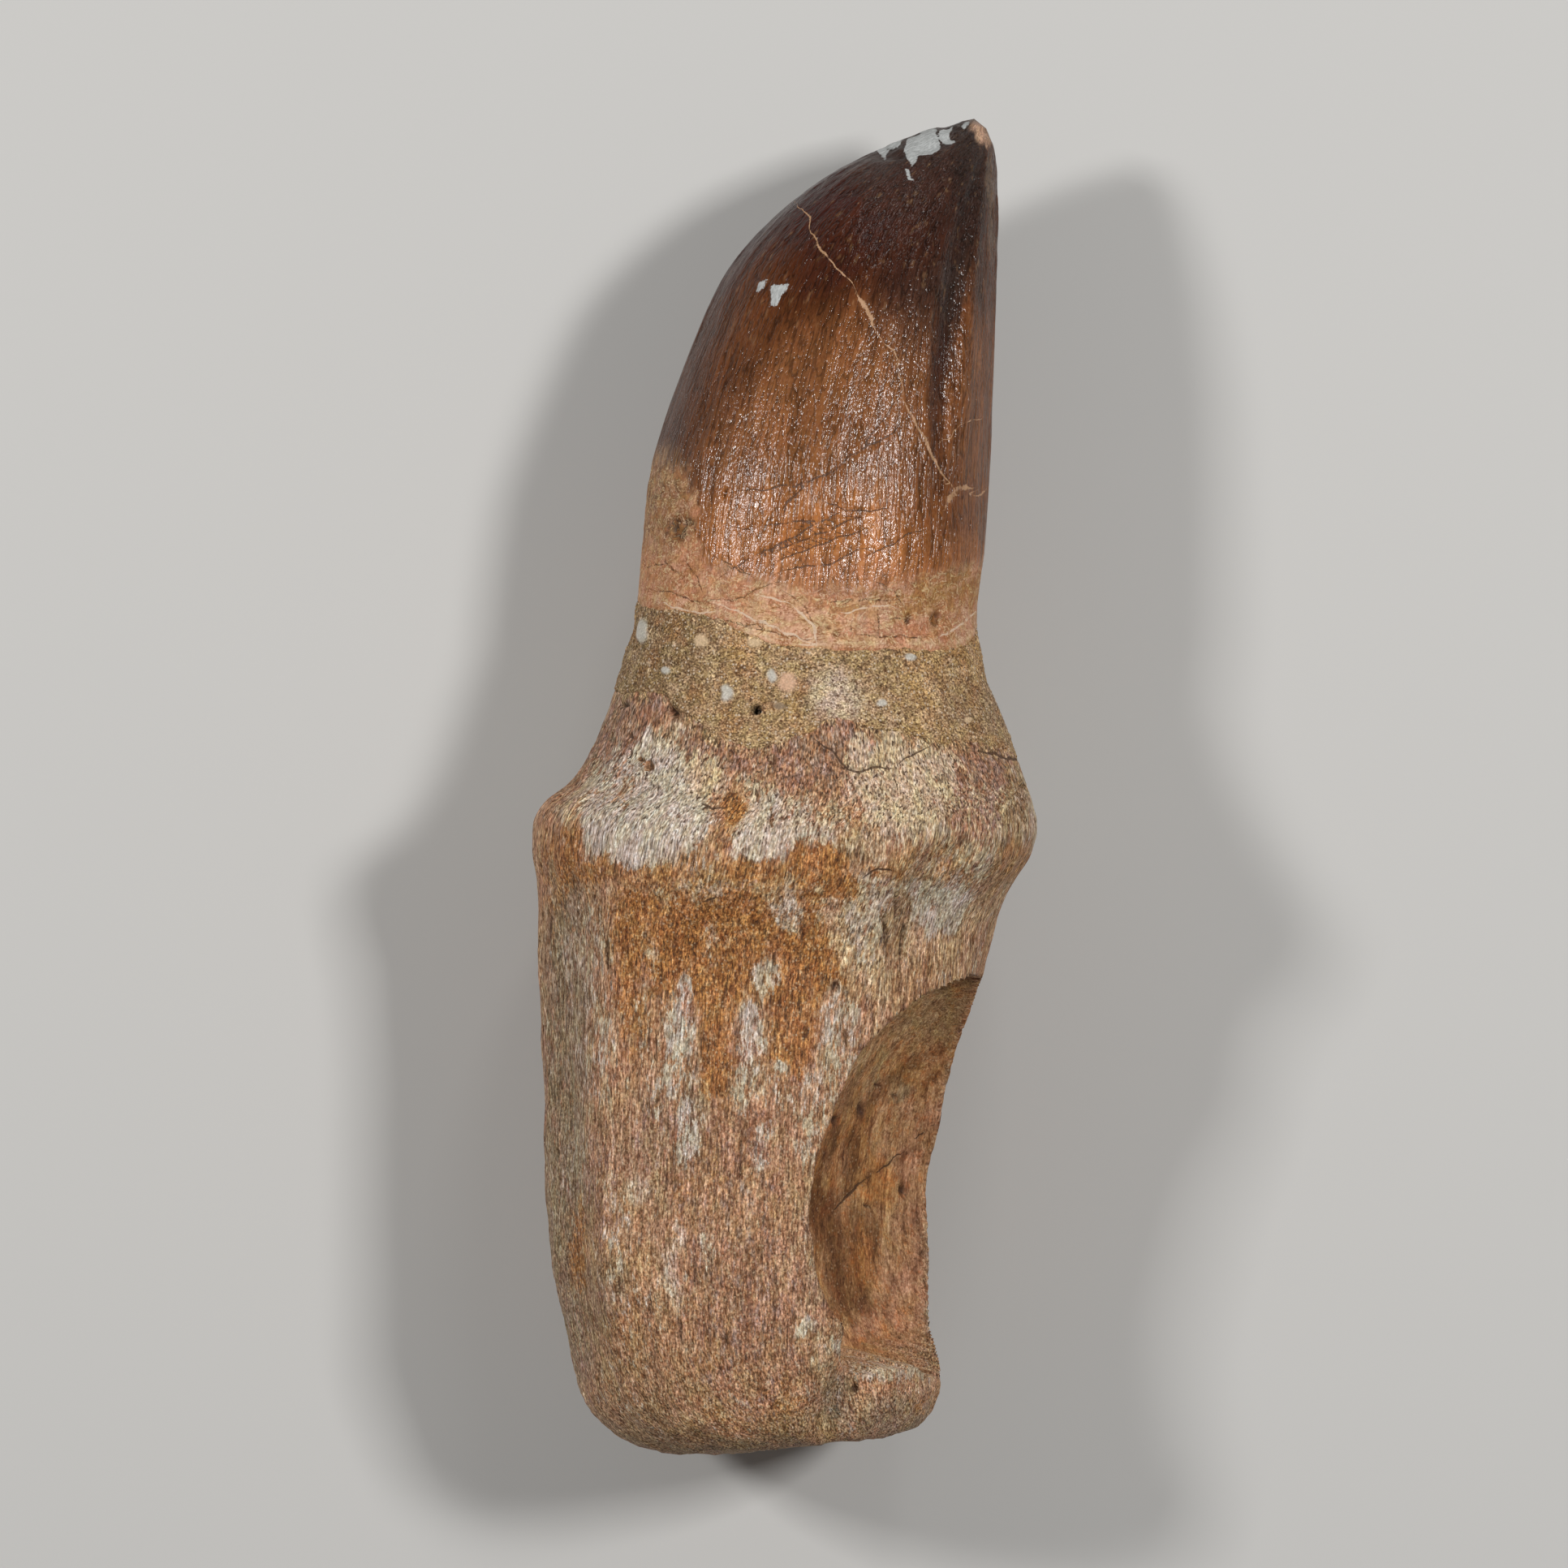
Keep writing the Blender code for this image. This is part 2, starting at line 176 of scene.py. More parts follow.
def smooth_through(knots, values, at):
    """Values of a curve through the knots that never swings past them, at the places given."""
    knots = np.asarray(knots, float)
    values = np.asarray(values, float)
    gap = np.diff(knots)
    slope = np.diff(values) / gap
    rate = np.zeros(len(knots))
    rate[0], rate[-1] = slope[0], slope[-1]
    same_way = slope[:-1] * slope[1:] > 0
    before, after = 2 * gap[1:] + gap[:-1], gap[1:] + 2 * gap[:-1]
    with np.errstate(divide="ignore", invalid="ignore"):
        mean = (before + after) / (before / slope[:-1] + after / slope[1:])
    rate[1:-1] = np.where(same_way, mean, 0.0)
    at = np.clip(at, knots[0], knots[-1])
    i = np.clip(np.searchsorted(knots, at, side="right") - 1, 0, len(knots) - 2)
    u = (at - knots[i]) / gap[i]
    start = (1 + 2 * u) * (1 - u) ** 2 * values[i] + u * (1 - u) ** 2 * gap[i] * rate[i]
    end = u * u * (3 - 2 * u) * values[i + 1] + u * u * (u - 1) * gap[i] * rate[i + 1]
    return start + end


def smooth_round(edge, angles):
    """The y of a collar edge at each angle, in radians. The edge closes on itself."""
    degrees, heights = np.array(edge, float).T
    knots = np.concatenate([degrees[-2:] - 360, degrees, degrees[:2] + 360])
    values = np.concatenate([heights[-2:], heights, heights[:2]])
    return smooth_through(knots, values, np.degrees(angles) % 360)


TABLE = np.array(SECTIONS)
MIDDLES = (TABLE[:, 0:2] + TABLE[:, 2:4]) / 2
ALONG = np.concatenate([[0], np.cumsum(np.linalg.norm(np.diff(MIDDLES, axis=0), axis=1))])


def along_at(y):
    """Distance along the middle line where its y is this one."""
    return np.interp(y, MIDDLES[:, 1], ALONG)


def distance_to_line(x, y, points):
    """How far each x and y is from a line through the points, on which side, and the share of its length."""
    points = np.array(points, float)
    lengths = np.linalg.norm(np.diff(points, axis=0), axis=1)
    passed = np.concatenate([[0], np.cumsum(lengths)])
    nearest = np.full(x.shape, 1e9)
    side = np.ones(x.shape)
    share = np.zeros(x.shape)
    for start, end, length, before in zip(points[:-1], points[1:], lengths, passed):
        run = (end - start) / length
        dx, dy = x - start[0], y - start[1]
        u = np.clip(dx * run[0] + dy * run[1], 0, length)
        away = np.hypot(dx - u * run[0], dy - u * run[1])
        closer = away < nearest
        nearest = np.where(closer, away, nearest)
        side = np.where(closer, np.where(dx * run[1] - dy * run[0] > 0, 1.0, -1.0), side)
        share = np.where(closer, (before + u) / passed[-1], share)
    return nearest, side, share


def lump_noise(points, step):
    """The solid's own lumps: smooth noise from -1 to 1 whose lumps are about one step apart."""
    flat = points.reshape(-1, 3) / step
    return np.array([noise.noise(Vector(p)) for p in flat]).reshape(points.shape[:-1])


def lattice_value(ix, iy, iz, salt):
    """A number from 0 to 1 for each whole-number place."""
    mixed = (ix * 374761393 + iy * 668265263 + iz * 1440662683 + salt * 1274126177) & 0xFFFFFFFF
    mixed = ((mixed ^ (mixed >> 13)) * 1274126177) & 0xFFFFFFFF
    mixed = ((mixed ^ (mixed >> 16)) * 668265263) & 0xFFFFFFFF
    return ((mixed ^ (mixed >> 15)) & 0xFFFFFF) / float(0xFFFFFF)


OCTAVE_SHIFT = 31.7


def axis_steps(step):
    """The step on each axis. A pair gives the step across the grain and the one along it."""
    return np.array([step[0], step[1], step[0]] if np.ndim(step) else [step] * 3, float)


def soft_noise(places, step, salt=0, octaves=1):
    """Smooth noise from -1 to 1 at places (..., 3), with lumps one step apart."""
    total = np.zeros(places.shape[:-1])
    size, reach = 1.0, 0.0
    for octave in range(octaves):
        scaled = places / (axis_steps(step) / 2**octave) + OCTAVE_SHIFT * octave
        whole = np.floor(scaled).astype(np.int64)
        part = scaled - whole
        part = part * part * (3 - 2 * part)
        value = 0.0
        for corner in range(8):
            cx, cy, cz = corner & 1, (corner >> 1) & 1, (corner >> 2) & 1
            weight = (part[..., 0] if cx else 1 - part[..., 0]) * (part[..., 1] if cy else 1 - part[..., 1])
            weight = weight * (part[..., 2] if cz else 1 - part[..., 2])
            at_corner = (whole[..., axis] + shift for axis, shift in enumerate((cx, cy, cz)))
            value = value + weight * lattice_value(*at_corner, salt + octave)
        total += size * (2 * value - 1)
        reach += size
        size *= 0.5
    return total / reach * 1.5


def cells(places, step, salt=0):
    """Distance to the nearest of points scattered one step apart, and that point's number."""
    scaled = places / axis_steps(step)
    whole = np.floor(scaled).astype(np.int64)
    first = np.full(places.shape[:-1], 9.0)
    number = np.zeros(places.shape[:-1])
    for shift in np.ndindex(3, 3, 3):
        cell = whole + np.array(shift) - 1
        ix, iy, iz = cell[..., 0], cell[..., 1], cell[..., 2]
        seed = [cell[..., axis] + lattice_value(ix, iy, iz, salt + axis) for axis in range(3)]
        away = np.sqrt(sum((scaled[..., axis] - seed[axis]) ** 2 for axis in range(3)))
        closer = away < first
        number = np.where(closer, lattice_value(ix, iy, iz, salt + 3), number)
        first = np.where(closer, away, first)
    return first, number


def relief(points, angles, middle_z):
    """How far the surface stands out of its smooth section, as on the solid."""
    x, y, z = points[..., 0], points[..., 1], points[..., 2]
    up = ease(z - middle_z, 0.0, 5.0)
    height = np.zeros(x.shape)
    degrees = np.degrees(angles) % 360
    for centre, half_width, tall, start, end in FLUTES:
        away = (degrees - centre + 180) % 360 - 180
        fade = ease(y, start, start + FLUTE_FADE) * (1 - ease(y, end - FLUTE_FADE, end))
        height += tall * np.exp(-((away / half_width) ** 2)) * fade
    for half_width, deep, line in VALLEYS:
        away, _, share = distance_to_line(x, y, line)
        fade = ease(share, 0, 0.2) * (1 - ease(share, 0.7, 1.0))
        height -= deep * np.exp(-((away / half_width) ** 2)) * fade * up
    for centre_x, centre_y, half_x, half_y, deep in HOLLOWS:
        away = ((x - centre_x) / half_x) ** 2 + ((y - centre_y) / half_y) ** 2
        height -= deep * np.exp(-away) * up
    rough = 1 - (1 - LUMPS_ON_CROWN) * ease(y, 3.0, 14.0)
    for tall, step in LUMPS:
        height += tall * rough * lump_noise(points, step)
    return height


def surface(along, angles, inset=0.0):
    """Points of the tooth's outside, or this far inside it, at places along its middle line and round it."""
    along, angles = np.broadcast_arrays(along, angles)
    left_x, left_y, right_x, right_y, top, under, square = (
        smooth_through(ALONG, TABLE[:, column], along) for column in range(TABLE.shape[1])
    )
    across = np.sign(np.cos(angles)) * np.abs(np.cos(angles)) ** (2 / square)
    upward = np.sign(np.sin(angles)) * np.abs(np.sin(angles)) ** (2 / square)
    middle = np.stack([(left_x + right_x) / 2, (left_y + right_y) / 2, (top + under) / 2], axis=-1)
    half = np.stack([(right_x - left_x) / 2, (right_y - left_y) / 2], axis=-1)
    points = middle.copy()
    points[..., 0:2] += half * across[..., None]
    points[..., 2] += (top - under) / 2 * upward
    near_crest = np.exp(-(((points[..., 1] - CREST_Y) / CREST_REACH) ** 2))
    points[..., 1] -= CREST_SAG * np.clip(np.sin(angles), 0, 1) ** 2 * near_crest
    out = points - middle
    out[..., 1] = 0
    out /= np.linalg.norm(out, axis=-1, keepdims=True)
    points += out * (relief(points, angles, middle[..., 2]) - inset)[..., None]
    return points


def bowl_axes(faces_up, leans):
    """A bowl's own axes as columns: into the root's outside, along it and across the mouth."""
    turn = Matrix.Rotation(math.radians(-faces_up), 3, "Y")
    lean = Matrix.Rotation(math.radians(-leans), 3, "Z")
    return np.array(lean @ turn)


RIM_ROUNDING = 0.30  # at the mouth of the pit, in millimetres
TERRACE_BLEND = 0.35  # where its two bowls meet


def hollow_out(points):
    """Pushes the skin into the root as far as the bowls reach, and says how far each point went."""
    inward = -bowl_axes(*BOWLS[0][2:])[:, 0]
    depth = np.zeros(points.shape[:-1])
    wavy = soft_noise(points, 7.0, 71) * 0.020 + soft_noise(points, 2.6, 72) * 0.010
    for centre, half_sizes, faces_up, leans in BOWLS:
        axes = bowl_axes(faces_up, leans) / np.array(half_sizes)
        near = (points - np.array(centre)) @ axes
        run = inward @ axes
        a, b = run @ run, near @ run
        c = np.einsum("...i,...i->...", near, near) - (1 + wavy) ** 2
        inside = c < 0
        reach = np.where(inside, (-b + np.sqrt(np.maximum(b * b - a * c, 0))) / a, 0)
        high = np.maximum(depth, reach)
        blend = np.exp(-np.abs(depth - reach) / TERRACE_BLEND) * TERRACE_BLEND * 0.5
        depth = np.where((depth > 0) & inside, high + blend, high)
    depth = np.sqrt(depth**2 + RIM_ROUNDING**2) - RIM_ROUNDING
    return points + depth[..., None] * inward, depth


def stretched(points, before):
    """How much longer the skin's steps have become, on the steep walls of a hollow."""
    ratios = []
    for axis in (0, 1):
        new, old = (np.linalg.norm(np.gradient(places, axis=axis), axis=-1) for places in (points, before))
        ratios.append(new / np.maximum(old, 0.02))
    return np.maximum(ratios[0], ratios[1])


def skin_normals(points):
    """Outward directions of a skin whose rows run round the tooth."""
    round_it = np.roll(points, -1, axis=1) - np.roll(points, 1, axis=1)
    along_it = np.gradient(points, axis=0)
    out = np.cross(along_it, round_it)
    return out / np.maximum(np.linalg.norm(out, axis=-1, keepdims=True), 1e-12)


def spread_angles(count):
    """Angles round the tooth, evenly apart on a squarish section and closer together on the upper side."""
    fine = np.linspace(0, 2 * math.pi, 4001)
    x = np.sign(np.cos(fine)) * np.abs(np.cos(fine)) ** 0.9 * 1.1
    z = np.sign(np.sin(fine)) * np.abs(np.sin(fine)) ** 0.9
    step = np.hypot(np.diff(x), np.diff(z)) * (1 + (UPPER_SHARE - 1) * ease(np.sin(fine[:-1]), -0.35, 0.05))
    total = np.concatenate([[0], np.cumsum(step)])
    return np.interp(np.arange(count) / count * total[-1], total, fine)


def pixel(points):
    """The photograph's x and y at which each point is seen."""
    return points[..., 0] / PIXEL_MM + PHOTO_ORIGIN[0], PHOTO_ORIGIN[1] - points[..., 1] / PIXEL_MM


def flow_places(points, along, angles, middle_radius, follow, straight=0.0):
    """Places in a straightened tooth, with y along it, in which fibres and wrinkles run straight."""
    off_x = points[..., 0] - np.interp(along, ALONG, MIDDLES[:, 0])
    off_z = points[..., 2] - MIDDLE_HEIGHT
    mean = np.hypot(off_x, off_z).mean(axis=1, keepdims=True)
    drum = middle_radius * (mean / middle_radius) ** follow
    flow_x = drum * np.cos(angles) * (1 - straight) + off_x * straight
    flow_z = drum * np.sin(angles) * (1 - straight) + off_z * straight
    return np.stack([flow_x, along, flow_z], axis=-1)


class Paint:
    """Colour and finish of a skin, laid on in patches and strokes whose edges follow the grain."""

    def __init__(self, points, flow, along_waver=14.0, across_waver=6.0):
        self.points, self.flow = points, flow
        self.x, self.y = pixel(points)
        ragged = soft_noise(flow, (1.1, 5.0), 11, 2)
        fine = soft_noise(flow, (0.45, 1.8), 12, 2)
        self.warped_x = self.x + across_waver * soft_noise(flow, 2.4, 13, 2) + 2.0 * fine
        self.warped_y = self.y + along_waver * ragged + 5.0 * fine
        self.upper = np.ones(points.shape[:-1])
        self.tint = np.zeros(points.shape)

    def base(self, colour):
        self.tint[:] = colour

    def lay(self, mask, colour, strength=1.0):
        """Mixes a colour in where the mask is."""
        weight = np.clip(mask * strength, 0, 1)[..., None]
        self.tint += (np.array(colour) - self.tint) * weight

    def patch(self, x, y, half_x, half_y, soft=0.35, tilt=0.0):
        """A mask over an oval at a pixel, with ragged edges. A tilt in degrees turns its top to the right."""
        away = oval_distance(self.warped_x - x, self.warped_y - y, half_x, half_y, tilt)
        return (1 - ease(away, 1 - soft, 1 + soft)) * self.upper

    def shape(self, corners, soft=13.0):
        """A mask over an outline of pixels, with wavering edges."""
        return ease(polygon_distance(self.warped_x, self.warped_y, corners), -soft, soft) * self.upper

    def spots(self, rows, soft=0.40):
        """Lays patches from rows of x, y, half sizes, colour, strength and a tilt where there is one."""
        for x, y, half_x, half_y, colour, strength, *tilt in rows:
            self.lay(self.patch(x, y, half_x, half_y, soft, *tilt), colour, strength)

    def shade(self, factor):
        """Multiplies the colour by a number at each point."""
        self.tint *= factor[..., None]

    def limited(self):
        """The colour, kept within what a surface can have."""
        return np.clip(self.tint, *TINT_LIMITS)


def raise_to(cover, other, mask, share):
    """Brings one cover to a share where the mask is, and thins the other there."""
    return cover + (share - cover) * mask, other * (1 - mask * share)


def oval_distance(x, y, half_x, half_y, tilt=0.0):
    """Distance from an oval's middle, where 1 is its edge. A tilt in degrees turns its top to the right."""
    turn = math.radians(tilt)
    across = x * math.cos(turn) + y * math.sin(turn)
    down = -x * math.sin(turn) + y * math.cos(turn)
    return np.hypot(across / half_x, down / half_y)


def patch_mask(px, py, x, y, half_x, half_y, tilt=0.0):
    """A soft oval mask at a pixel, with an even edge."""
    return 1 - ease(oval_distance(px - x, py - y, half_x, half_y, tilt), 0.6, 1.2)


def polygon_distance(x, y, corners):
    """Signed distance to an outline, in pixels, that is positive inside."""
    away, _, _ = distance_to_line(x, y, corners + corners[:1])
    inside = np.zeros(x.shape, bool)
    for (ax, ay), (bx, by) in zip(corners, corners[1:] + corners[:1]):
        crosses = (ay > y) != (by > y)
        where = ax + (y - ay) * (bx - ax) / (by - ay + 1e-9)
        inside ^= crosses & (x < where)
    return np.where(inside, away, -away)


def stroke(x, y, line, half_width, soft=0.5, taper=0.1):
    """A mask along a line through pixels, and the signed share of its half width."""
    away, side, share = distance_to_line(x, y, line)
    width = half_width * (0.25 + 0.75 * ease(share, 0, taper) * (1 - ease(share, 1 - taper, 1)))
    return 1 - ease(away / width, 1 - soft, 1 + soft), away * side / width


def skin_faces(count, around, caps):
    """Faces of a skin and the bake map's corner for each. Fans cap its ends, or else it closes in a loop."""
    rows = count - 1 if caps else count
    margin = 0.02 if caps else 0.0
    row, k = np.meshgrid(np.arange(rows), np.arange(around), indexing="ij")
    row, k = row.ravel(), k.ravel()
    after, above = (k + 1) % around, (row + 1) % count
    quads = np.stack([row * around + k, above * around + k, above * around + after, row * around + after], 1)
    low, high = (margin + (1 - 2 * margin) * r / rows for r in (row, row + 1))
    left, right = k / around, (k + 1) / around
    corners = np.stack([left, low, left, high, right, high, right, low], 1).reshape(-1, 2)
    faces = quads.tolist()
    if caps:
        k = np.arange(around)
        after, last, base, tip = (k + 1) % around, (count - 1) * around, count * around, count * around + 1
        faces += np.stack([np.full(around, base), k, after], 1).tolist()
        faces += np.stack([np.full(around, tip), last + after, last + k], 1).tolist()
        left, middle, right = k / around, (k + 0.5) / around, (k + 1) / around
        low, top = np.full(around, margin), np.full(around, 1 - margin)
        corners = np.concatenate([
            corners,
            np.stack([middle, 0 * low, left, low, right, low], 1).reshape(-1, 2),
            np.stack([middle, 0 * low + 1, right, top, left, top], 1).reshape(-1, 2),
        ])
    return faces, corners


def skin_object(name, points, material, values, poles=()):
    """A closed mesh from rows of points, with named values for its material at each point."""
    count, around = points.shape[:2]
    corners = np.concatenate([points.reshape(-1, 3)] + [np.array([pole], float) for pole in poles])
    low, high = (np.array(corner) / MM for corner in cad_box)
    corners = np.clip(corners, low, high)
    faces, bake_corners = skin_faces(count, around, bool(len(poles)))
    mesh = bpy.data.meshes.new(name)
    mesh.from_pydata((corners * MM).tolist(), [], faces)
    mesh.shade_smooth()
    uv = mesh.uv_layers.new(name="OFBake")
    uv.data.foreach_set("uv", bake_corners.astype(np.float32).ravel())
    for key, value in values.items():
        width = value.shape[-1] if value.ndim == 3 else 1
        flat = value.reshape(-1, width)
        if len(poles):
            flat = np.concatenate([flat, flat[:around].mean(0)[None], flat[-around:].mean(0)[None]])
        kind, part = ("FLOAT_VECTOR", "vector") if width == 3 else ("FLOAT", "value")
        if key == "tint":
            kind, part = "FLOAT_COLOR", "color"
            flat = np.concatenate([flat, np.ones((len(flat), 1))], 1)
        attribute = mesh.attributes.new(key, kind, "POINT")
        attribute.data.foreach_set(part, flat.astype(np.float32).ravel())
    mesh.materials.append(material)
    obj = bpy.data.objects.new(name, mesh)
    bpy.context.scene.collection.objects.link(obj)
    return obj


# Root

# Pale crust on the bone. Outlines in pixels with how much of the bone it covers and how warm it is.
PALE_SHAPES = (
    (0.95, 0.05, ((727, 990), (715, 1013), (730, 1047), (753, 1063), (787, 1085), (795, 1066), (823, 1060),
        (850, 1047), (868, 1033), (876, 1007), (868, 985), (855, 960), (846, 938), (817, 912), (800, 903),
        (787, 923), (757, 940), (733, 957))),
    (0.9, 0.25, ((930, 968), (963, 978), (972, 1018), (1007, 1023), (1038, 1042), (1010, 1038), (967, 1035),
        (966, 1052), (923, 1063), (910, 1047), (907, 1030), (923, 1007))),
    (0.85, 0.85, ((1048, 905), (1075, 890), (1130, 900), (1172, 912), (1178, 990), (1168, 1032),
        (1100, 1045), (1062, 1010), (1040, 960))),
    (0.8, 0.1, ((1120, 1092), (1185, 1078), (1192, 1108), (1176, 1138), (1140, 1150), (1118, 1125))),
    (0.6, 0.4, ((1022, 1078), (1088, 1068), (1094, 1112), (1078, 1172), (1052, 1182), (1030, 1132))),
)
# Ovals of pale crust: x, y, half sizes, cover and warmth.
# Here and in the tables below, one more number at the end of a row is a tilt in degrees.
PALE_SPOTS = (
    (873, 955, 26, 28, 0.75, 1.0), (1205, 1005, 50, 40, 0.45, 1.0), (1110, 1050, 60, 26, 0.45, 1.0),
    (762, 960, 30, 40, 0.6, 0.1, 20), (905, 1075, 60, 16, 0.45, 1.0), (835, 1092, 44, 16, 0.42, 1.0),
    (958, 1092, 32, 26, 0.45, 1.0), (1012, 1100, 14, 40, 0.42, 1.0), (800, 1180, 12, 40, 0.36, 0.8),
    (880, 1160, 10, 34, 0.36, 0.8), (970, 1122, 22, 24, 0.56, 0.3), (945, 1192, 18, 28, 0.58, 0.3),
    (847, 1212, 8, 20, 0.62, 0.1), (838, 1268, 20, 50, 0.66, 0.05), (832, 1318, 32, 30, 0.52, 0.1),
    (848, 1390, 16, 44, 0.58, 0.05), (812, 1340, 14, 40, 0.45, 0.1), (927, 1268, 16, 44, 0.66, 0.1),
    (920, 1325, 15, 34, 0.5, 0.3), (1033, 1232, 16, 24, 0.62, 0.05), (1034, 1268, 24, 48, 0.55, 0.3),
    (1005, 1345, 18, 50, 0.45, 0.3), (963, 1308, 9, 7, 0.65, 0.1), (938, 1397, 11, 34, 0.58, 0.1),
    (996, 1417, 8, 16, 0.55, 0.2), (955, 1350, 20, 40, 0.4, 0.3), (722, 1170, 30, 70, 0.48, 0.5),
    (735, 1290, 26, 80, 0.42, 0.4), (710, 1420, 20, 70, 0.36, 0.2), (760, 1500, 24, 80, 0.36, 0.3),
    (870, 1530, 18, 24, 0.42, 0.2), (820, 1600, 60, 60, 0.3, 0.3), (998, 1618, 15, 9, 0.8, 0.1, -20),
    (1038, 1652, 8, 22, 0.6, 0.2, -30), (1102, 1682, 54, 10, 0.72, 0.5), (800, 1270, 18, 60, 0.3, 0.4),
)
# Iron stain: cover and outline, then ovals with cover.
STAIN_SHAPES = (
    (0.92, ((762, 1092), (830, 1088), (900, 1100), (960, 1075), (985, 1045), (1038, 1048), (1052, 1078),
        (1030, 1108), (1022, 1150), (1042, 1200), (1012, 1225), (1008, 1310), (985, 1325), (948, 1300),
        (946, 1225), (912, 1232), (904, 1325), (888, 1360), (866, 1330), (860, 1240), (846, 1226),
        (822, 1222), (808, 1262), (792, 1300), (772, 1300), (762, 1210), (752, 1130))),
)
STAIN_SPOTS = (
    (706, 1052, 18, 46, 0.85, 10), (682, 1075, 16, 60, 0.6), (735, 1072, 26, 16, 0.7, -20),
    (800, 1078, 60, 14, 0.55), (903, 993, 17, 17, 0.92), (893, 1030, 12, 26, 0.6), (800, 940, 8, 8, 0.6),
    (768, 992, 9, 8, 0.5), (1008, 1060, 34, 22, 0.92), (1036, 1092, 18, 22, 0.88), (930, 1072, 40, 16, 0.7),
    (1085, 1072, 30, 8, 0.6), (1052, 1000, 14, 12, 0.4), (1100, 1185, 22, 34, 0.35, 20),
    (1246, 1060, 24, 24, 0.55, 30), (890, 1420, 18, 50, 0.35), (845, 1470, 20, 50, 0.42),
    (965, 1480, 20, 60, 0.35), (716, 1530, 12, 60, 0.6), (850, 1640, 50, 60, 0.32),
    (968, 1712, 24, 24, 0.6), (870, 1740, 60, 24, 0.38), (1140, 1722, 20, 20, 0.5),
)
# Reddish and purple bone where the crust has worn off: x, y, half sizes and cover.
ROSE_SPOTS = (
    (796, 868, 46, 20, 0.9), (772, 905, 34, 26, 0.7), (740, 930, 24, 40, 0.55, 20), (930, 922, 62, 26, 0.9),
    (1022, 905, 48, 32, 0.92, 10), (1000, 950, 46, 28, 0.7), (880, 915, 34, 20, 0.8),
    (950, 955, 22, 30, 0.55), (1206, 955, 34, 46, 0.72), (1238, 930, 30, 10, 0.72, -20),
    (1180, 985, 14, 40, 0.5), (900, 1470, 70, 110, 0.42), (920, 1600, 70, 90, 0.5),
    (815, 1400, 40, 60, 0.42), (740, 1450, 26, 70, 0.45),
)
# Broad tones under those: x, y, half sizes, colour and strength.
BONE_TONES = (
    (890, 1080, 120, 24, OCHRE, 0.65), (1060, 1085, 60, 30, FILLING, 0.45),
    (1070, 1140, 60, 70, CREAM, 0.55), (1150, 1060, 50, 24, OCHRE, 0.5),
    (1160, 1180, 30, 40, FILLING, 0.5, 10), (800, 1450, 60, 120, GREY_TAN, 0.3),
    # The grey tan rows along the left flank, at x 700 to 745, are partly the bone's own grey and partly
    # painted shade where the light falls off.
    (700, 1250, 30, 190, GREY_TAN, 0.85), (700, 1500, 34, 170, GREY_TAN, 0.85),
    (720, 1640, 34, 70, GREY_TAN, 0.8, 10), (745, 900, 30, 50, GREY_TAN, 0.7, 25),
    (1053, 1037, 32, 24, KHAKI, 0.85, 10), (1000, 1190, 40, 60, CREAM, 0.3),
    (1245, 1000, 26, 60, KHAKI, 0.7), (1225, 1090, 30, 50, LOW_TAN, 0.6, 20),
    (800, 1700, 70, 50, LOW_TAN, 0.6), (860, 1768, 110, 16, KHAKI, 0.75, 6),
    (1000, 1745, 60, 22, KHAKI, 0.75), (1030, 1715, 22, 34, GREY_TAN, 0.8),
    (1100, 1735, 56, 26, GREY_TAN, 0.75), (910, 1440, 80, 70, PINK_TAN, 0.6),
    (850, 1570, 120, 110, PINK_TAN, 0.5), (930, 1650, 60, 60, RED_BONE, 0.45),
    (960, 1560, 30, 90, RED_BONE, 0.35), (1150, 1125, 60, 50, CREAM, 0.4),
    (970, 1200, 44, 60, FILLING, 0.45), (760, 1560, 40, 120, OCHRE, 0.25),
    (790, 1458, 16, 14, WHITE_BONE, 0.45), (832, 1560, 9, 34, WHITE_BONE, 0.5),
    (840, 1508, 8, 16, WHITE_BONE, 0.45), (752, 1575, 26, 40, GREY_TAN, 0.5),
    (868, 1516, 5, 5, WHITE_BONE, 0.9), (1110, 1130, 14, 60, KHAKI, 0.55, 10),
)
# Steps in the pit's wall, painted as dark lines of shade along them: half width in pixels and a line through
# pixels.
PIT_STEP_SHADOWS = (
    (7.0, ((1196, 1288), (1160, 1298), (1125, 1312), (1095, 1335), (1068, 1368), (1050, 1405),
        (1040, 1450))),
    (3.0, ((1000, 1505), (1022, 1490), (1048, 1470), (1075, 1450), (1112, 1432), (1160, 1402))),
)
# Tones in the pit, as in BONE_TONES.
PIT_PATCHES = (
    (1150, 1235, 66, 50, KHAKI, 0.9), (1080, 1310, 44, 34, KHAKI, 0.85, 40),
    (1140, 1325, 40, 22, BROWN, 0.4, -30), (1105, 1345, 17, 13, GREY_TAN, 0.7),
    (1135, 1400, 40, 40, PINK_TAN, 0.6), (1030, 1400, 18, 70, UMBER, 0.55, 20),
    (1012, 1480, 20, 70, UMBER, 0.85), (1060, 1400, 16, 40, RUST, 0.6, 15),
    (1045, 1440, 14, 36, UMBER, 0.55, 10), (1085, 1462, 28, 30, RUST, 0.75),
    (1050, 1520, 30, 34, UMBER, 0.7), (1045, 1590, 28, 50, UMBER, 0.75, -20),
    (1068, 1560, 22, 34, BROWN, 0.7), (1125, 1480, 22, 70, PINK_TAN, 0.75),
    (1115, 1600, 34, 60, PINK_TAN, 0.95), (1085, 1640, 34, 26, PINK_TAN, 0.95),
)
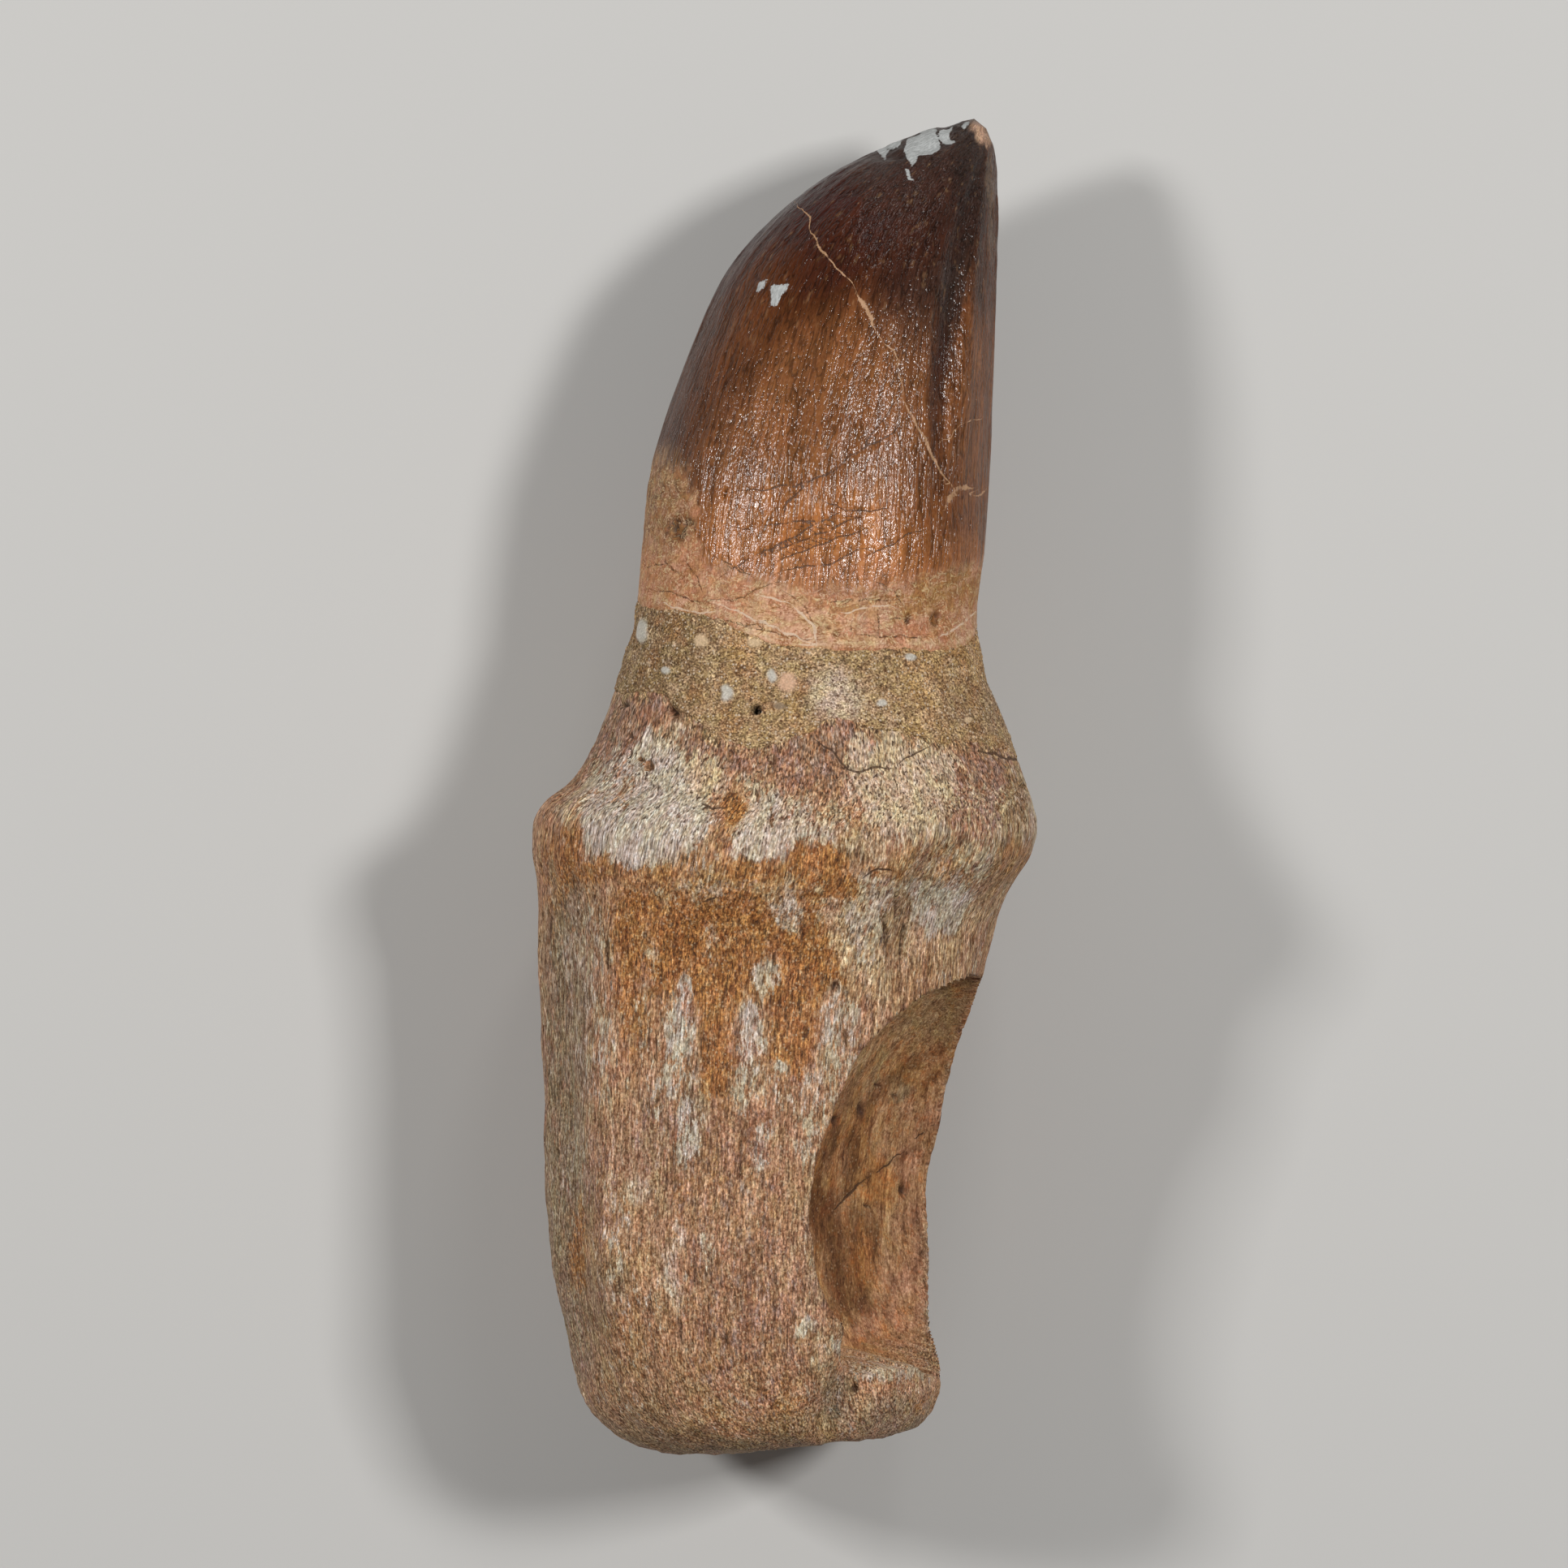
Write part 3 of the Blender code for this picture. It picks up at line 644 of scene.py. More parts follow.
# Streaks on the pit's walls: half width in pixels, colour, strength and a line through pixels.
PIT_STREAKS = (
    (4.5, UMBER, 0.85, ((1058, 1398), (1055, 1420), (1054, 1446))),
    (3.6, UMBER, 0.75, ((1064, 1362), (1061, 1380))),
    (5.4, UMBER, 0.7, ((1033, 1385), (1028, 1400), (1024, 1412))),
    (9.0, UMBER, 0.7, ((1012, 1440), (1004, 1470), (1002, 1500), (1008, 1530))),
    (3.6, FILLING, 0.6, ((1046, 1425), (1038, 1445), (1034, 1470))),
    (3.6, FILLING, 0.5, ((1024, 1425), (1014, 1450), (1012, 1466))),
    (4.5, UMBER, 0.65, ((1080, 1500), (1082, 1540), (1078, 1575))),
    (7.2, UMBER, 0.6, ((1022, 1530), (1030, 1570), (1044, 1610))),
    (4.5, FILLING, 0.5, ((1104, 1440), (1108, 1500), (1106, 1560))),
    (5.4, RUST, 0.7, ((1072, 1425), (1082, 1440), (1080, 1462))),
    (4.5, RUST, 0.6, ((1060, 1500), (1066, 1530), (1062, 1560))),
    (3.6, UMBER, 0.6, ((1132, 1500), (1136, 1540), (1134, 1580))),
    (3.2, UMBER, 0.55, ((1096, 1560), (1098, 1600), (1092, 1630))),
    (6.3, UMBER, 0.5, ((1040, 1520), (1052, 1528), (1066, 1530))),
    (3.6, KHAKI, 0.7, ((1150, 1440), (1148, 1500), (1142, 1580))),
)
# Holes in the bone: x, y, half sizes in pixels, and depth.
BONE_HOLES = (
    (832, 875, 9, 9, 0.9), (770, 868, 8, 3, 0.4), (792, 934, 5, 4, 0.5), (802, 943, 6, 5, 0.6),
    (951, 935, 6, 10, 0.5), (950, 905, 6, 5, 0.4), (1258, 967, 4, 3, 0.5), (1114, 1473, 5, 8, 0.5),
    (1030, 1382, 5, 6, 0.4), (1062, 1370, 5, 9, 0.4), (1104, 1354, 4, 4, 0.3), (1082, 1340, 4, 4, 0.3),
    (1070, 1490, 5, 4, 0.4), (1137, 1550, 4, 8, 0.4), (1028, 1210, 5, 6, 0.4), (935, 1530, 3, 4, 0.4),
    (1052, 1700, 5, 8, 0.5),
)
# Long slits between fibres: lines through pixels.
BONE_SLITS = (
    ((915, 1368), (914, 1410), (912, 1448)), ((905, 1362), (906, 1388)), ((893, 1405), (893, 1440)),
    ((824, 1368), (825, 1392)), ((823, 1430), (824, 1458)), ((900, 1432), (899, 1462)),
    ((1100, 1096), (1102, 1140)), ((1094, 1150), (1090, 1182)), ((1086, 1120), (1090, 1168)),
    ((1112, 1130), (1104, 1186)), ((935, 968), (933, 990)), ((950, 990), (951, 1018)),
    ((750, 1150), (751, 1190)), ((1040, 1262), (1044, 1288)), ((897, 1468), (898, 1500)),
    ((955, 1553), (954, 1574)), ((946, 1568), (945, 1590)), ((840, 1608), (841, 1642)),
    ((804, 1588), (804, 1603)), ((896, 1628), (895, 1648)), ((767, 1556), (766, 1584)),
    ((857, 1558), (857, 1573)),
)
# Fine cracks across the bone: half width in pixels and a line through pixels.
BONE_CRACKS = (
    (1.5, ((1003, 912), (1016, 921), (1030, 932), (1042, 946), (1055, 950), (1080, 947), (1102, 945))),
    (1.1, ((1102, 945), (1112, 934), (1122, 930), (1132, 925), (1145, 918))),
    (1.6, ((1200, 926), (1225, 928), (1262, 940))),
    (1.5, ((1025, 1499), (1045, 1480), (1058, 1464), (1070, 1457))),
    (1.1, ((1080, 1450), (1098, 1440), (1106, 1430), (1115, 1424))),
    (0.8, ((1128, 1410), (1134, 1405), (1141, 1402))), (0.8, ((1150, 1394), (1156, 1389), (1163, 1385))),
    (1.6, ((868, 1108), (884, 1103))), (1.2, ((864, 990), (880, 995), (896, 994))),
    (1.2, ((1060, 1080), (1080, 1068), (1100, 1072))),
)


def crack_field(x, y, cracks, widen=1.0):
    """The signed share of the nearest crack's half width, and how near it is, so that lines stay sharp."""
    best = np.full(x.shape, 60.0)
    signed = np.full(x.shape, 60.0)
    for half_width, line in cracks:
        _, value = stroke(x, y, line, half_width * widen, taper=0.25)
        closer = np.abs(value) < best
        best = np.where(closer, np.abs(value), best)
        signed = np.where(closer, value, signed)
    return np.stack([np.clip(signed, -8, 8), 1 - ease(best, 3.5, 6.0), 0 * best], axis=-1)


def bone_cover(paint, flow, upper, in_pit):
    """How much pale crust, iron stain and reddish bone there is at each point, and how warm the crust is."""
    crest = 1 - ease(paint.warped_y, 1040, 1085)
    patches = soft_noise(flow, (3.0, 7.0), 33, 3)
    drift = soft_noise(flow, (4.0, 13.0), 34, 3)
    under = 1 - upper
    pale = 0.20 + 0.15 * drift + crest * (0.28 + under * 0.30 + 0.35 * patches)
    stain = under * ease(paint.y, 1040, 1100) * (1 - ease(paint.y, 1250, 1420)) * (0.55 + 0.5 * drift)
    stain = stain + 0.12 - 0.2 * patches * under
    rose = 0.22 + 0.25 * patches + under * crest * 0.3
    warm = 0.45 + 0.5 * soft_noise(flow, (3.0, 6.0), 35, 2) + 0.2 * crest
    paint.upper = upper
    for x, y, half_x, half_y, share, *tilt in ROSE_SPOTS:
        rose, pale = raise_to(rose, pale, paint.patch(x, y, half_x, half_y, 0.45, *tilt), share)
    for share, corners in STAIN_SHAPES:
        stain, pale = raise_to(stain, pale, paint.shape(corners, 24.0), share)
    for share, warmth, corners in PALE_SHAPES:
        mask = paint.shape(corners)
        pale, stain = raise_to(pale, stain, mask, share)
        warm = warm + (warmth - warm) * mask
    for x, y, half_x, half_y, share, warmth, *tilt in PALE_SPOTS:
        mask = paint.patch(x, y, half_x, half_y, 0.45, *tilt)
        pale, stain = raise_to(pale, stain, mask, share)
        warm = warm + (warmth - warm) * mask
    for x, y, half_x, half_y, share, *tilt in STAIN_SPOTS:
        stain, pale = raise_to(stain, pale, paint.patch(x, y, half_x, half_y, 0.45, *tilt), share)
    outside = 1 - in_pit
    flecks = soft_noise(flow, (1.1, 2.4), 39, 3)
    stain = stain * (0.92 + 0.22 * patches + 0.22 * flecks)
    pale = pale * (0.96 + 0.12 * drift + 0.20 * flecks)
    return pale * outside, stain * outside, rose * outside, np.clip(warm, 0, 1)


def paint_bare_bone(paint):
    """The bone's own colour, mottled along the grain."""
    paint.base(PINK_TAN)
    broad = soft_noise(paint.flow, (5.0, 16.0), 31, 3)
    mottle = soft_noise(paint.flow, (2.2, 7.0), 32, 3)
    paint.lay(ease(mottle, 0.0, 0.6), LOW_TAN, 0.7)
    paint.lay(ease(-broad, 0.15, 0.6), GREY_TAN, 0.55)
    small = soft_noise(paint.flow, (0.9, 3.2), 38, 3)
    paint.lay(ease(small, 0.15, 0.55), CREAM, 0.45)
    paint.lay(ease(-small, 0.15, 0.55), RED_BONE, 0.50)


def paint_pit(paint, px, py, in_pit, calm, shade):
    """The walls and floor of the resorption pit."""
    paint.lay(in_pit, PIT_TAN, 0.80)
    paint.upper = in_pit
    paint.spots(PIT_PATCHES)
    blotch = soft_noise(paint.flow, (1.4, 4.0), 36, 3)
    paint.lay(in_pit * ease(blotch, 0.10, 0.55), RUST, 0.40)
    paint.lay(in_pit * ease(-blotch, 0.20, 0.55), UMBER, 0.25)
    paint.lay(in_pit * ease(soft_noise(paint.flow, (0.5, 3.0), 40, 2), 0.25, 0.6) * calm, UMBER, 0.20)
    paint.shade(shade)
    for half_width, colour, strength, line in PIT_STREAKS:
        mask = stroke(paint.warped_x, paint.warped_y, line, half_width, 0.4, 0.2)[0]
        paint.lay(mask * in_pit, colour, strength)
    # Painted shade along the steps in the pit's wall.
    for half_width, line in PIT_STEP_SHADOWS:
        paint.lay(stroke(px, py, line, half_width, 0.9, 0.3)[0] * in_pit, UMBER, 0.6)


def make_root(material):
    """The bony root, from its worn base up to where it goes in under the collar."""
    around, count = ROOT_GRID
    angles = spread_angles(around)
    edge = along_at(smooth_round(ROOT_EDGE, angles))
    shares = np.linspace(0, 1, count)[:, None]
    along = shares * (edge + TUCK_RUN)
    past_edge = along - edge
    coarse = surface(along, angles, inset=TUCK * ease(past_edge, -0.1, TUCK_RUN))
    flow = flow_places(coarse, along, angles, 17.0, 0.3, 0.75)
    points, pit = hollow_out(coarse)
    calm = 1 - ease(stretched(points, coarse), 1.4, 2.6)
    normals = skin_normals(points)
    x, y, z = points[..., 0], points[..., 1], points[..., 2]
    px, py = pixel(points)
    upper = ease(z, 13.0, 19.0)
    in_pit = ease(pit, 0.25, 0.9)
    off_x = x - np.interp(along, ALONG, MIDDLES[:, 0])
    own_flow = np.stack([off_x, along + y - coarse[..., 1], z - MIDDLE_HEIGHT], axis=-1)
    flow = flow + (own_flow - flow) * in_pit[..., None]
    low_end = ease(-y, 30, 46)
    seen = np.maximum(upper, in_pit)

    # Fibres and pores, and a sandier grain towards the worn base.
    fibres = soft_noise(flow, (0.50, 4.0), 21, 2)
    ropes = soft_noise(flow, (1.9, 14.0), 22)
    grain = soft_noise(points, 0.75, 23, 2)
    pore_first, pore_number = cells(flow, (0.75, 2.3), 24)
    pores = (1 - ease(pore_first, 0.12, 0.34)) * (pore_number > 0.55)
    above_crest = ease(y, -7.0, -1.0)
    sandy_end = ease(-y, 45, 54)
    crumbly = ease(-y, 18, 32)
    fibrous = (0.75 + 0.25 * above_crest) * (1 - 0.3 * crumbly) * (1 - 0.6 * sandy_end) * (1 - 0.45 * in_pit)
    fibres, grain, pores = fibres * calm, grain * calm, pores * calm
    height = 0.075 * fibres * fibrous + 0.10 * ropes * (1 - in_pit)
    height += grain * (0.035 + 0.045 * low_end + 0.03 * sandy_end + 0.02 * in_pit)
    height -= 0.22 * pores * (0.35 + 0.65 * fibrous)
    holes = [(oval_distance(px - at_x, py - at_y, *half), deep) for at_x, at_y, *half, deep in BONE_HOLES]
    for away, deep in holes:
        height -= deep * (1 - ease(away, 0.35, 1.25)) * seen
    slit = np.zeros(x.shape)
    for line in BONE_SLITS:
        slit = np.maximum(slit, stroke(px, py, line, 2.2, 0.6, 0.3)[0] * upper)
    height -= 0.25 * slit
    jitter_x, jitter_y = (1.5 * soft_noise(points, 0.8, salt) for salt in (25, 26))
    cracks = crack_field(px + jitter_x, py + jitter_y, BONE_CRACKS)
    cracks[..., 1] *= seen
    height -= 0.10 * (1 - ease(np.abs(cracks[..., 0]), 0.6, 1.8)) * cracks[..., 1]
    height -= SKIN_LOWERED
    points = points + normals * height[..., None]

    paint = Paint(points, flow, along_waver=9.0, across_waver=5.0)
    paint_bare_bone(paint)
    pale, stain, rose, warm = bone_cover(paint, flow, upper, in_pit)
    # Sand from the collar lies thinly over the bone beside it.
    dust = ease(along - edge, -1.5, -0.1) * ease(soft_noise(flow, (0.8, 1.2), 58, 3), -0.25, 0.25)
    pale, stain, rose = pale * (1 - dust), stain * (1 - dust), rose * (1 - dust)
    paint.upper = upper * (1 - in_pit)
    paint.spots(BONE_TONES)
    paint.lay(dust, SAND, 0.85)
    paint_pit(paint, px, py, in_pit, calm, 1 + in_pit * 0.16 + 0.10 * sandy_end * (1 - in_pit))
    # Painted shade: a dark band just inside the pit's rim on its upper side, where the rim shades the wall
    # below it.
    paint.shade(1 - 0.38 * in_pit * (1 - ease(pit, 0.8, 3.0)) * ease(z, 12, 20))

    # Fine colour that follows the relief: painted light on the fibres' crests and painted shade between them,
    # then dark pores, slits and holes.
    paint.shade(1 + 0.14 * fibres * fibrous)
    paint.lay(pores * (0.3 + 0.7 * fibrous), SLIT_DARK, 0.55)
    paint.lay(slit, SLIT_DARK, 0.85)
    for away, _ in holes:
        mask = (1 - ease(away, 0.5, 1.3)) * seen
        paint.lay(mask, SLIT_DARK, 0.9)
        pale, stain, rose = pale * (1 - mask), stain * (1 - mask), rose * (1 - mask)
    pale = pale * (1 - slit)

    grainy = 0.12 + 0.28 * (1 - above_crest) + 0.22 * crumbly + 0.10 * low_end + 0.28 * sandy_end
    grainy = np.clip(grainy + (0.35 - grainy) * in_pit + dust, 0, 1)
    values = {
        "tint": paint.limited(),
        "flow": flow,
        "cover": np.stack([pale, stain, rose], axis=-1),
        "kind": np.stack([warm, fibrous, grainy], axis=-1),
        "hollow": in_pit,
        "cracks": cracks,
    }
    end_pole = coarse[-1].mean(axis=0)
    return skin_object("bony_root", points, material, values, poles=(BASE_POLE, end_pole))


# Crown

# Chalky chips in the enamel, as outlines of pixels.
CHALK_CHIPS = (
    ((1113, 188), (1118, 172), (1133, 165), (1143, 152), (1153, 160), (1158, 178), (1157, 190), (1132, 197),
        (1124, 208)),
    ((952, 358), (975, 357), (965, 369), (957, 384), (949, 385), (950, 370)),
    ((1081, 184), (1092, 180), (1094, 186), (1090, 190), (1091, 202), (1085, 192)),
    ((1114, 211), (1120, 211), (1121, 222), (1125, 228), (1117, 226)),
    ((1092, 184), (1098, 175), (1110, 175), (1108, 180), (1099, 182)),
    ((1158, 160), (1172, 158), (1170, 168), (1178, 176), (1166, 180), (1158, 172)),
    ((1184, 152), (1192, 146), (1197, 146), (1192, 152), (1187, 158)),
    ((933, 362), (938, 352), (947, 350), (944, 358), (935, 366)),
)
# Filled cracks, pale veins and open cracks: half width in pixels and a line through pixels.
TAN_CRACKS = (
    (1.2, ((980, 250), (988, 262), (997, 272), (999, 288), (1004, 302), (1010, 312), (1028, 332),
        (1046, 352), (1058, 372))),
    (3.6, ((1056, 372), (1064, 384), (1070, 396), (1074, 411))),
    (0.9, ((1074, 411), (1086, 428), (1102, 440), (1104, 462), (1112, 492))),
    (1.6, ((1110, 492), (1118, 512), (1125, 530), (1140, 552), (1150, 572), (1160, 592), (1176, 608))),
    (4.3, ((1162, 628), (1168, 616), (1180, 605), (1194, 603))),
    (1.2, ((1188, 610), (1205, 612), (1215, 602))),
    (0.7, ((1215, 515), (1196, 520), (1180, 530), (1165, 545), (1152, 550))),
)
PALE_VEINS = (
    (1.6, ((880, 747), (905, 754), (935, 768), (960, 778), (985, 790), (1008, 798))),
    (2.2, ((978, 752), (992, 762), (1002, 776), (1006, 796))),
    (1.4, ((1030, 760), (1052, 756), (1078, 750), (1104, 752))),
    (1.4, ((812, 742), (836, 752), (862, 758), (884, 756))),
    (1.6, ((1150, 790), (1170, 780), (1190, 766), (1204, 750))),
    (1.2, ((930, 735), (955, 742), (975, 748))), (2.0, ((890, 783), (930, 795), (975, 803), (1020, 806))),
)
DARK_CRACKS = (
    (1.0, ((1046, 785), (1080, 787), (1112, 786), (1140, 788))),
    (0.9, ((1079, 752), (1081, 768), (1080, 787))), (0.9, ((1049, 768), (1047, 785))),
    (1.1, ((1090, 766), (1104, 764), (1118, 768))), (1.2, ((820, 690), (832, 706), (846, 722))),
    (1.0, ((792, 700), (812, 698), (830, 692))),
    (1.4, ((900, 612), (925, 609), (950, 608), (990, 601), (1020, 590), (1036, 578), (1060, 560),
        (1100, 540), (1118, 515))),
    (1.6, ((996, 603), (982, 612), (970, 624), (966, 638))),
    (1.4, ((880, 722), (905, 703), (930, 690), (955, 678), (980, 665), (1006, 650), (1026, 641),
        (1052, 634))),
    (1.2, ((900, 652), (925, 656), (950, 652), (985, 648), (1030, 646))),
    (1.4, ((930, 694), (960, 682), (1000, 666), (1030, 655), (1060, 640))),
    (1.2, ((948, 700), (975, 690), (1010, 676), (1045, 662), (1075, 652))),
    (1.2, ((955, 712), (990, 702), (1020, 701), (1042, 688), (1075, 676))),
    (1.0, ((1010, 618), (1025, 628), (1042, 636), (1075, 634), (1100, 626))),
    (1.3, ((800, 727), (830, 733), (860, 745), (905, 742), (935, 728), (960, 720))),
    (1.2, ((845, 695), (860, 712), (866, 735))),
    (1.0, ((1060, 690), (1085, 680), (1108, 668), (1140, 655))),
    (1.4, ((1012, 748), (1045, 744), (1075, 742), (1102, 744))),
    (1.0, ((905, 775), (940, 778), (975, 788), (1010, 792))),
    (1.0, ((962, 730), (985, 745), (1000, 762), (1004, 785))), (1.0, ((880, 690), (900, 700), (930, 715))),
    (0.9, ((1075, 720), (1100, 732), (1110, 748))), (0.9, ((850, 760), (880, 768), (920, 772), (955, 768))),
    (0.9, ((1100, 500), (1090, 520), (1060, 560))),
)
# Small pits in the bare dentine: x, y and half sizes.
CROWN_PITS = (
    (1117, 766, 5, 7), (1151, 765, 7, 11), (1033, 786, 8, 4), (1020, 777, 4, 3), (893, 611, 3, 3),
)
# The enamel's lower border, which rises at the left where a patch of it is lost.
ENAMEL_BORDER = (
    (770, 575), (812, 572), (845, 588), (862, 625), (858, 655), (866, 690), (900, 712), (950, 726),
    (1000, 732), (1060, 734), (1100, 730), (1140, 716), (1180, 704), (1230, 692),
)
# Tones of the enamel, then of the bare dentine, as in BONE_TONES.
CROWN_PATCHES = (
    (1140, 300, 62, 130, PURPLE_BLACK_AND_SHEEN, 0.75, 14), (1120, 230, 60, 50, PURPLE_BLACK_AND_SHEEN, 0.55, 30),
    (1196, 215, 24, 60, TIP_BLACK_AND_SHEEN, 0.8), (1186, 290, 12, 90, TIP_BLACK_AND_SHEEN, 0.8, 5),
    (1165, 390, 13, 110, TIP_BLACK_AND_SHEEN, 0.8, 8), (1152, 500, 11, 90, CROWN_DARK, 0.7, 2),
    (1205, 330, 9, 70, TIP_BLACK_AND_SHEEN, 0.45), (1130, 260, 60, 60, CROWN_DARK, 0.45, 30),
    (1020, 320, 90, 80, CROWN_DARK, 0.55, 30), (920, 420, 40, 110, CROWN_RED, 0.7, 25),
    (1195, 520, 14, 150, CROWN_BROWN, 0.5), (1040, 480, 70, 90, CROWN_BROWN, 0.45, 10),
    (1000, 715, 120, 30, DENTINE, 0.65), (1000, 650, 90, 50, CROWN_ORANGE, 0.55),
    (1190, 680, 30, 26, CROWN_ORANGE, 0.55), (1215, 640, 12, 50, CROWN_BROWN, 0.5),
    (1155, 640, 50, 60, CROWN_RED, 0.5), (1110, 300, 50, 60, CROWN_DARK, 0.5, 30),
    (980, 330, 60, 50, CROWN_DARK, 0.3, 35), (1210, 157, 10, 18, PEBBLE_PINK, 0.9, -32),
    (1222, 250, 5, 60, GREY_TAN, 0.3),
)
DENTINE_PATCHES = (
    (1150, 736, 66, 20, GOLDEN, 0.95, -14), (1195, 715, 30, 14, GOLDEN, 0.9, -20),
    (1080, 744, 60, 7, GOLDEN, 0.75), (1000, 770, 90, 10, DENTINE_PALE, 0.55, -8),
    (1190, 775, 22, 30, RED_BONE, 0.35, 30), (812, 690, 16, 30, DENTINE, 0.6),
    (1010, 775, 14, 24, DENTINE_PALE, 0.6, -20), (960, 735, 30, 12, DENTINE_PALE, 0.5, 20),
)


NO_CHIP = -20.0  # pixels from the nearest chip, where there is none
# How far up the crown each enamel colour is reached, as a share of its length.
CROWN_SHADES = (
    (0.0, CROWN_ORANGE), (0.15, CROWN_ORANGE), (0.29, CROWN_BROWN), (0.48, CROWN_BROWN),
    (0.63, CROWN_RED), (0.78, CROWN_DARK), (1.0, TIP_BLACK_AND_SHEEN),
)


def paint_enamel(paint, reach, angles, upper, wrinkle_shade):
    """Enamel that turns from orange through red brown to nearly black, up the crown."""
    knots, shades = (np.array(column) for column in zip(*CROWN_SHADES))
    wander = reach + 0.05 * soft_noise(paint.flow, (5.0, 10.0), 51, 2)
    paint.tint = np.stack([np.interp(wander, knots, shades[:, c]) for c in range(3)], axis=-1)
    left = ease(-np.cos(angles), 0.55, 0.95) * np.ones(reach.shape)
    right = ease(np.cos(angles), 0.45, 0.95) * np.ones(reach.shape)
    # Painted shade: the crown's left flank is darkened towards CROWN_DARK, as on the side turned from the
    # light.
    paint.lay(left * ease(reach, 0.12, 0.30), CROWN_DARK, 0.80)
    paint.lay(right * ease(reach, 0.06, 0.20), CROWN_RED, 0.55)
    paint.upper = upper
    paint.spots(CROWN_PATCHES, 0.55)
    paint.shade(1 + 0.14 * soft_noise(paint.flow, (1.2, 16.0), 52, 3))
    # Painted light and shade that follow the wrinkles' relief: lighter on their crests, darker between them.
    paint.shade(wrinkle_shade)
    flecks = ease(soft_noise(paint.flow, (0.35, 1.0), 53, 2), 0.68, 0.90) * ease(reach, 0.45, 0.6)
    paint.lay(flecks, FILLING, 0.18)


def paint_dentine(paint, bare, shade):
    """Blotched dentine where the enamel is gone."""
    dentine = np.stack([np.full(bare.shape, c) for c in DENTINE], axis=-1)
    blotch = ease(soft_noise(paint.flow, (3.0, 2.0), 54, 3), -0.1, 0.5)[..., None]
    dentine += (np.array(DENTINE_PALE) - dentine) * blotch * 0.6
    paint.tint += (dentine - paint.tint) * bare[..., None]
    paint.spots(DENTINE_PATCHES, 0.45)
    paint.shade(shade)


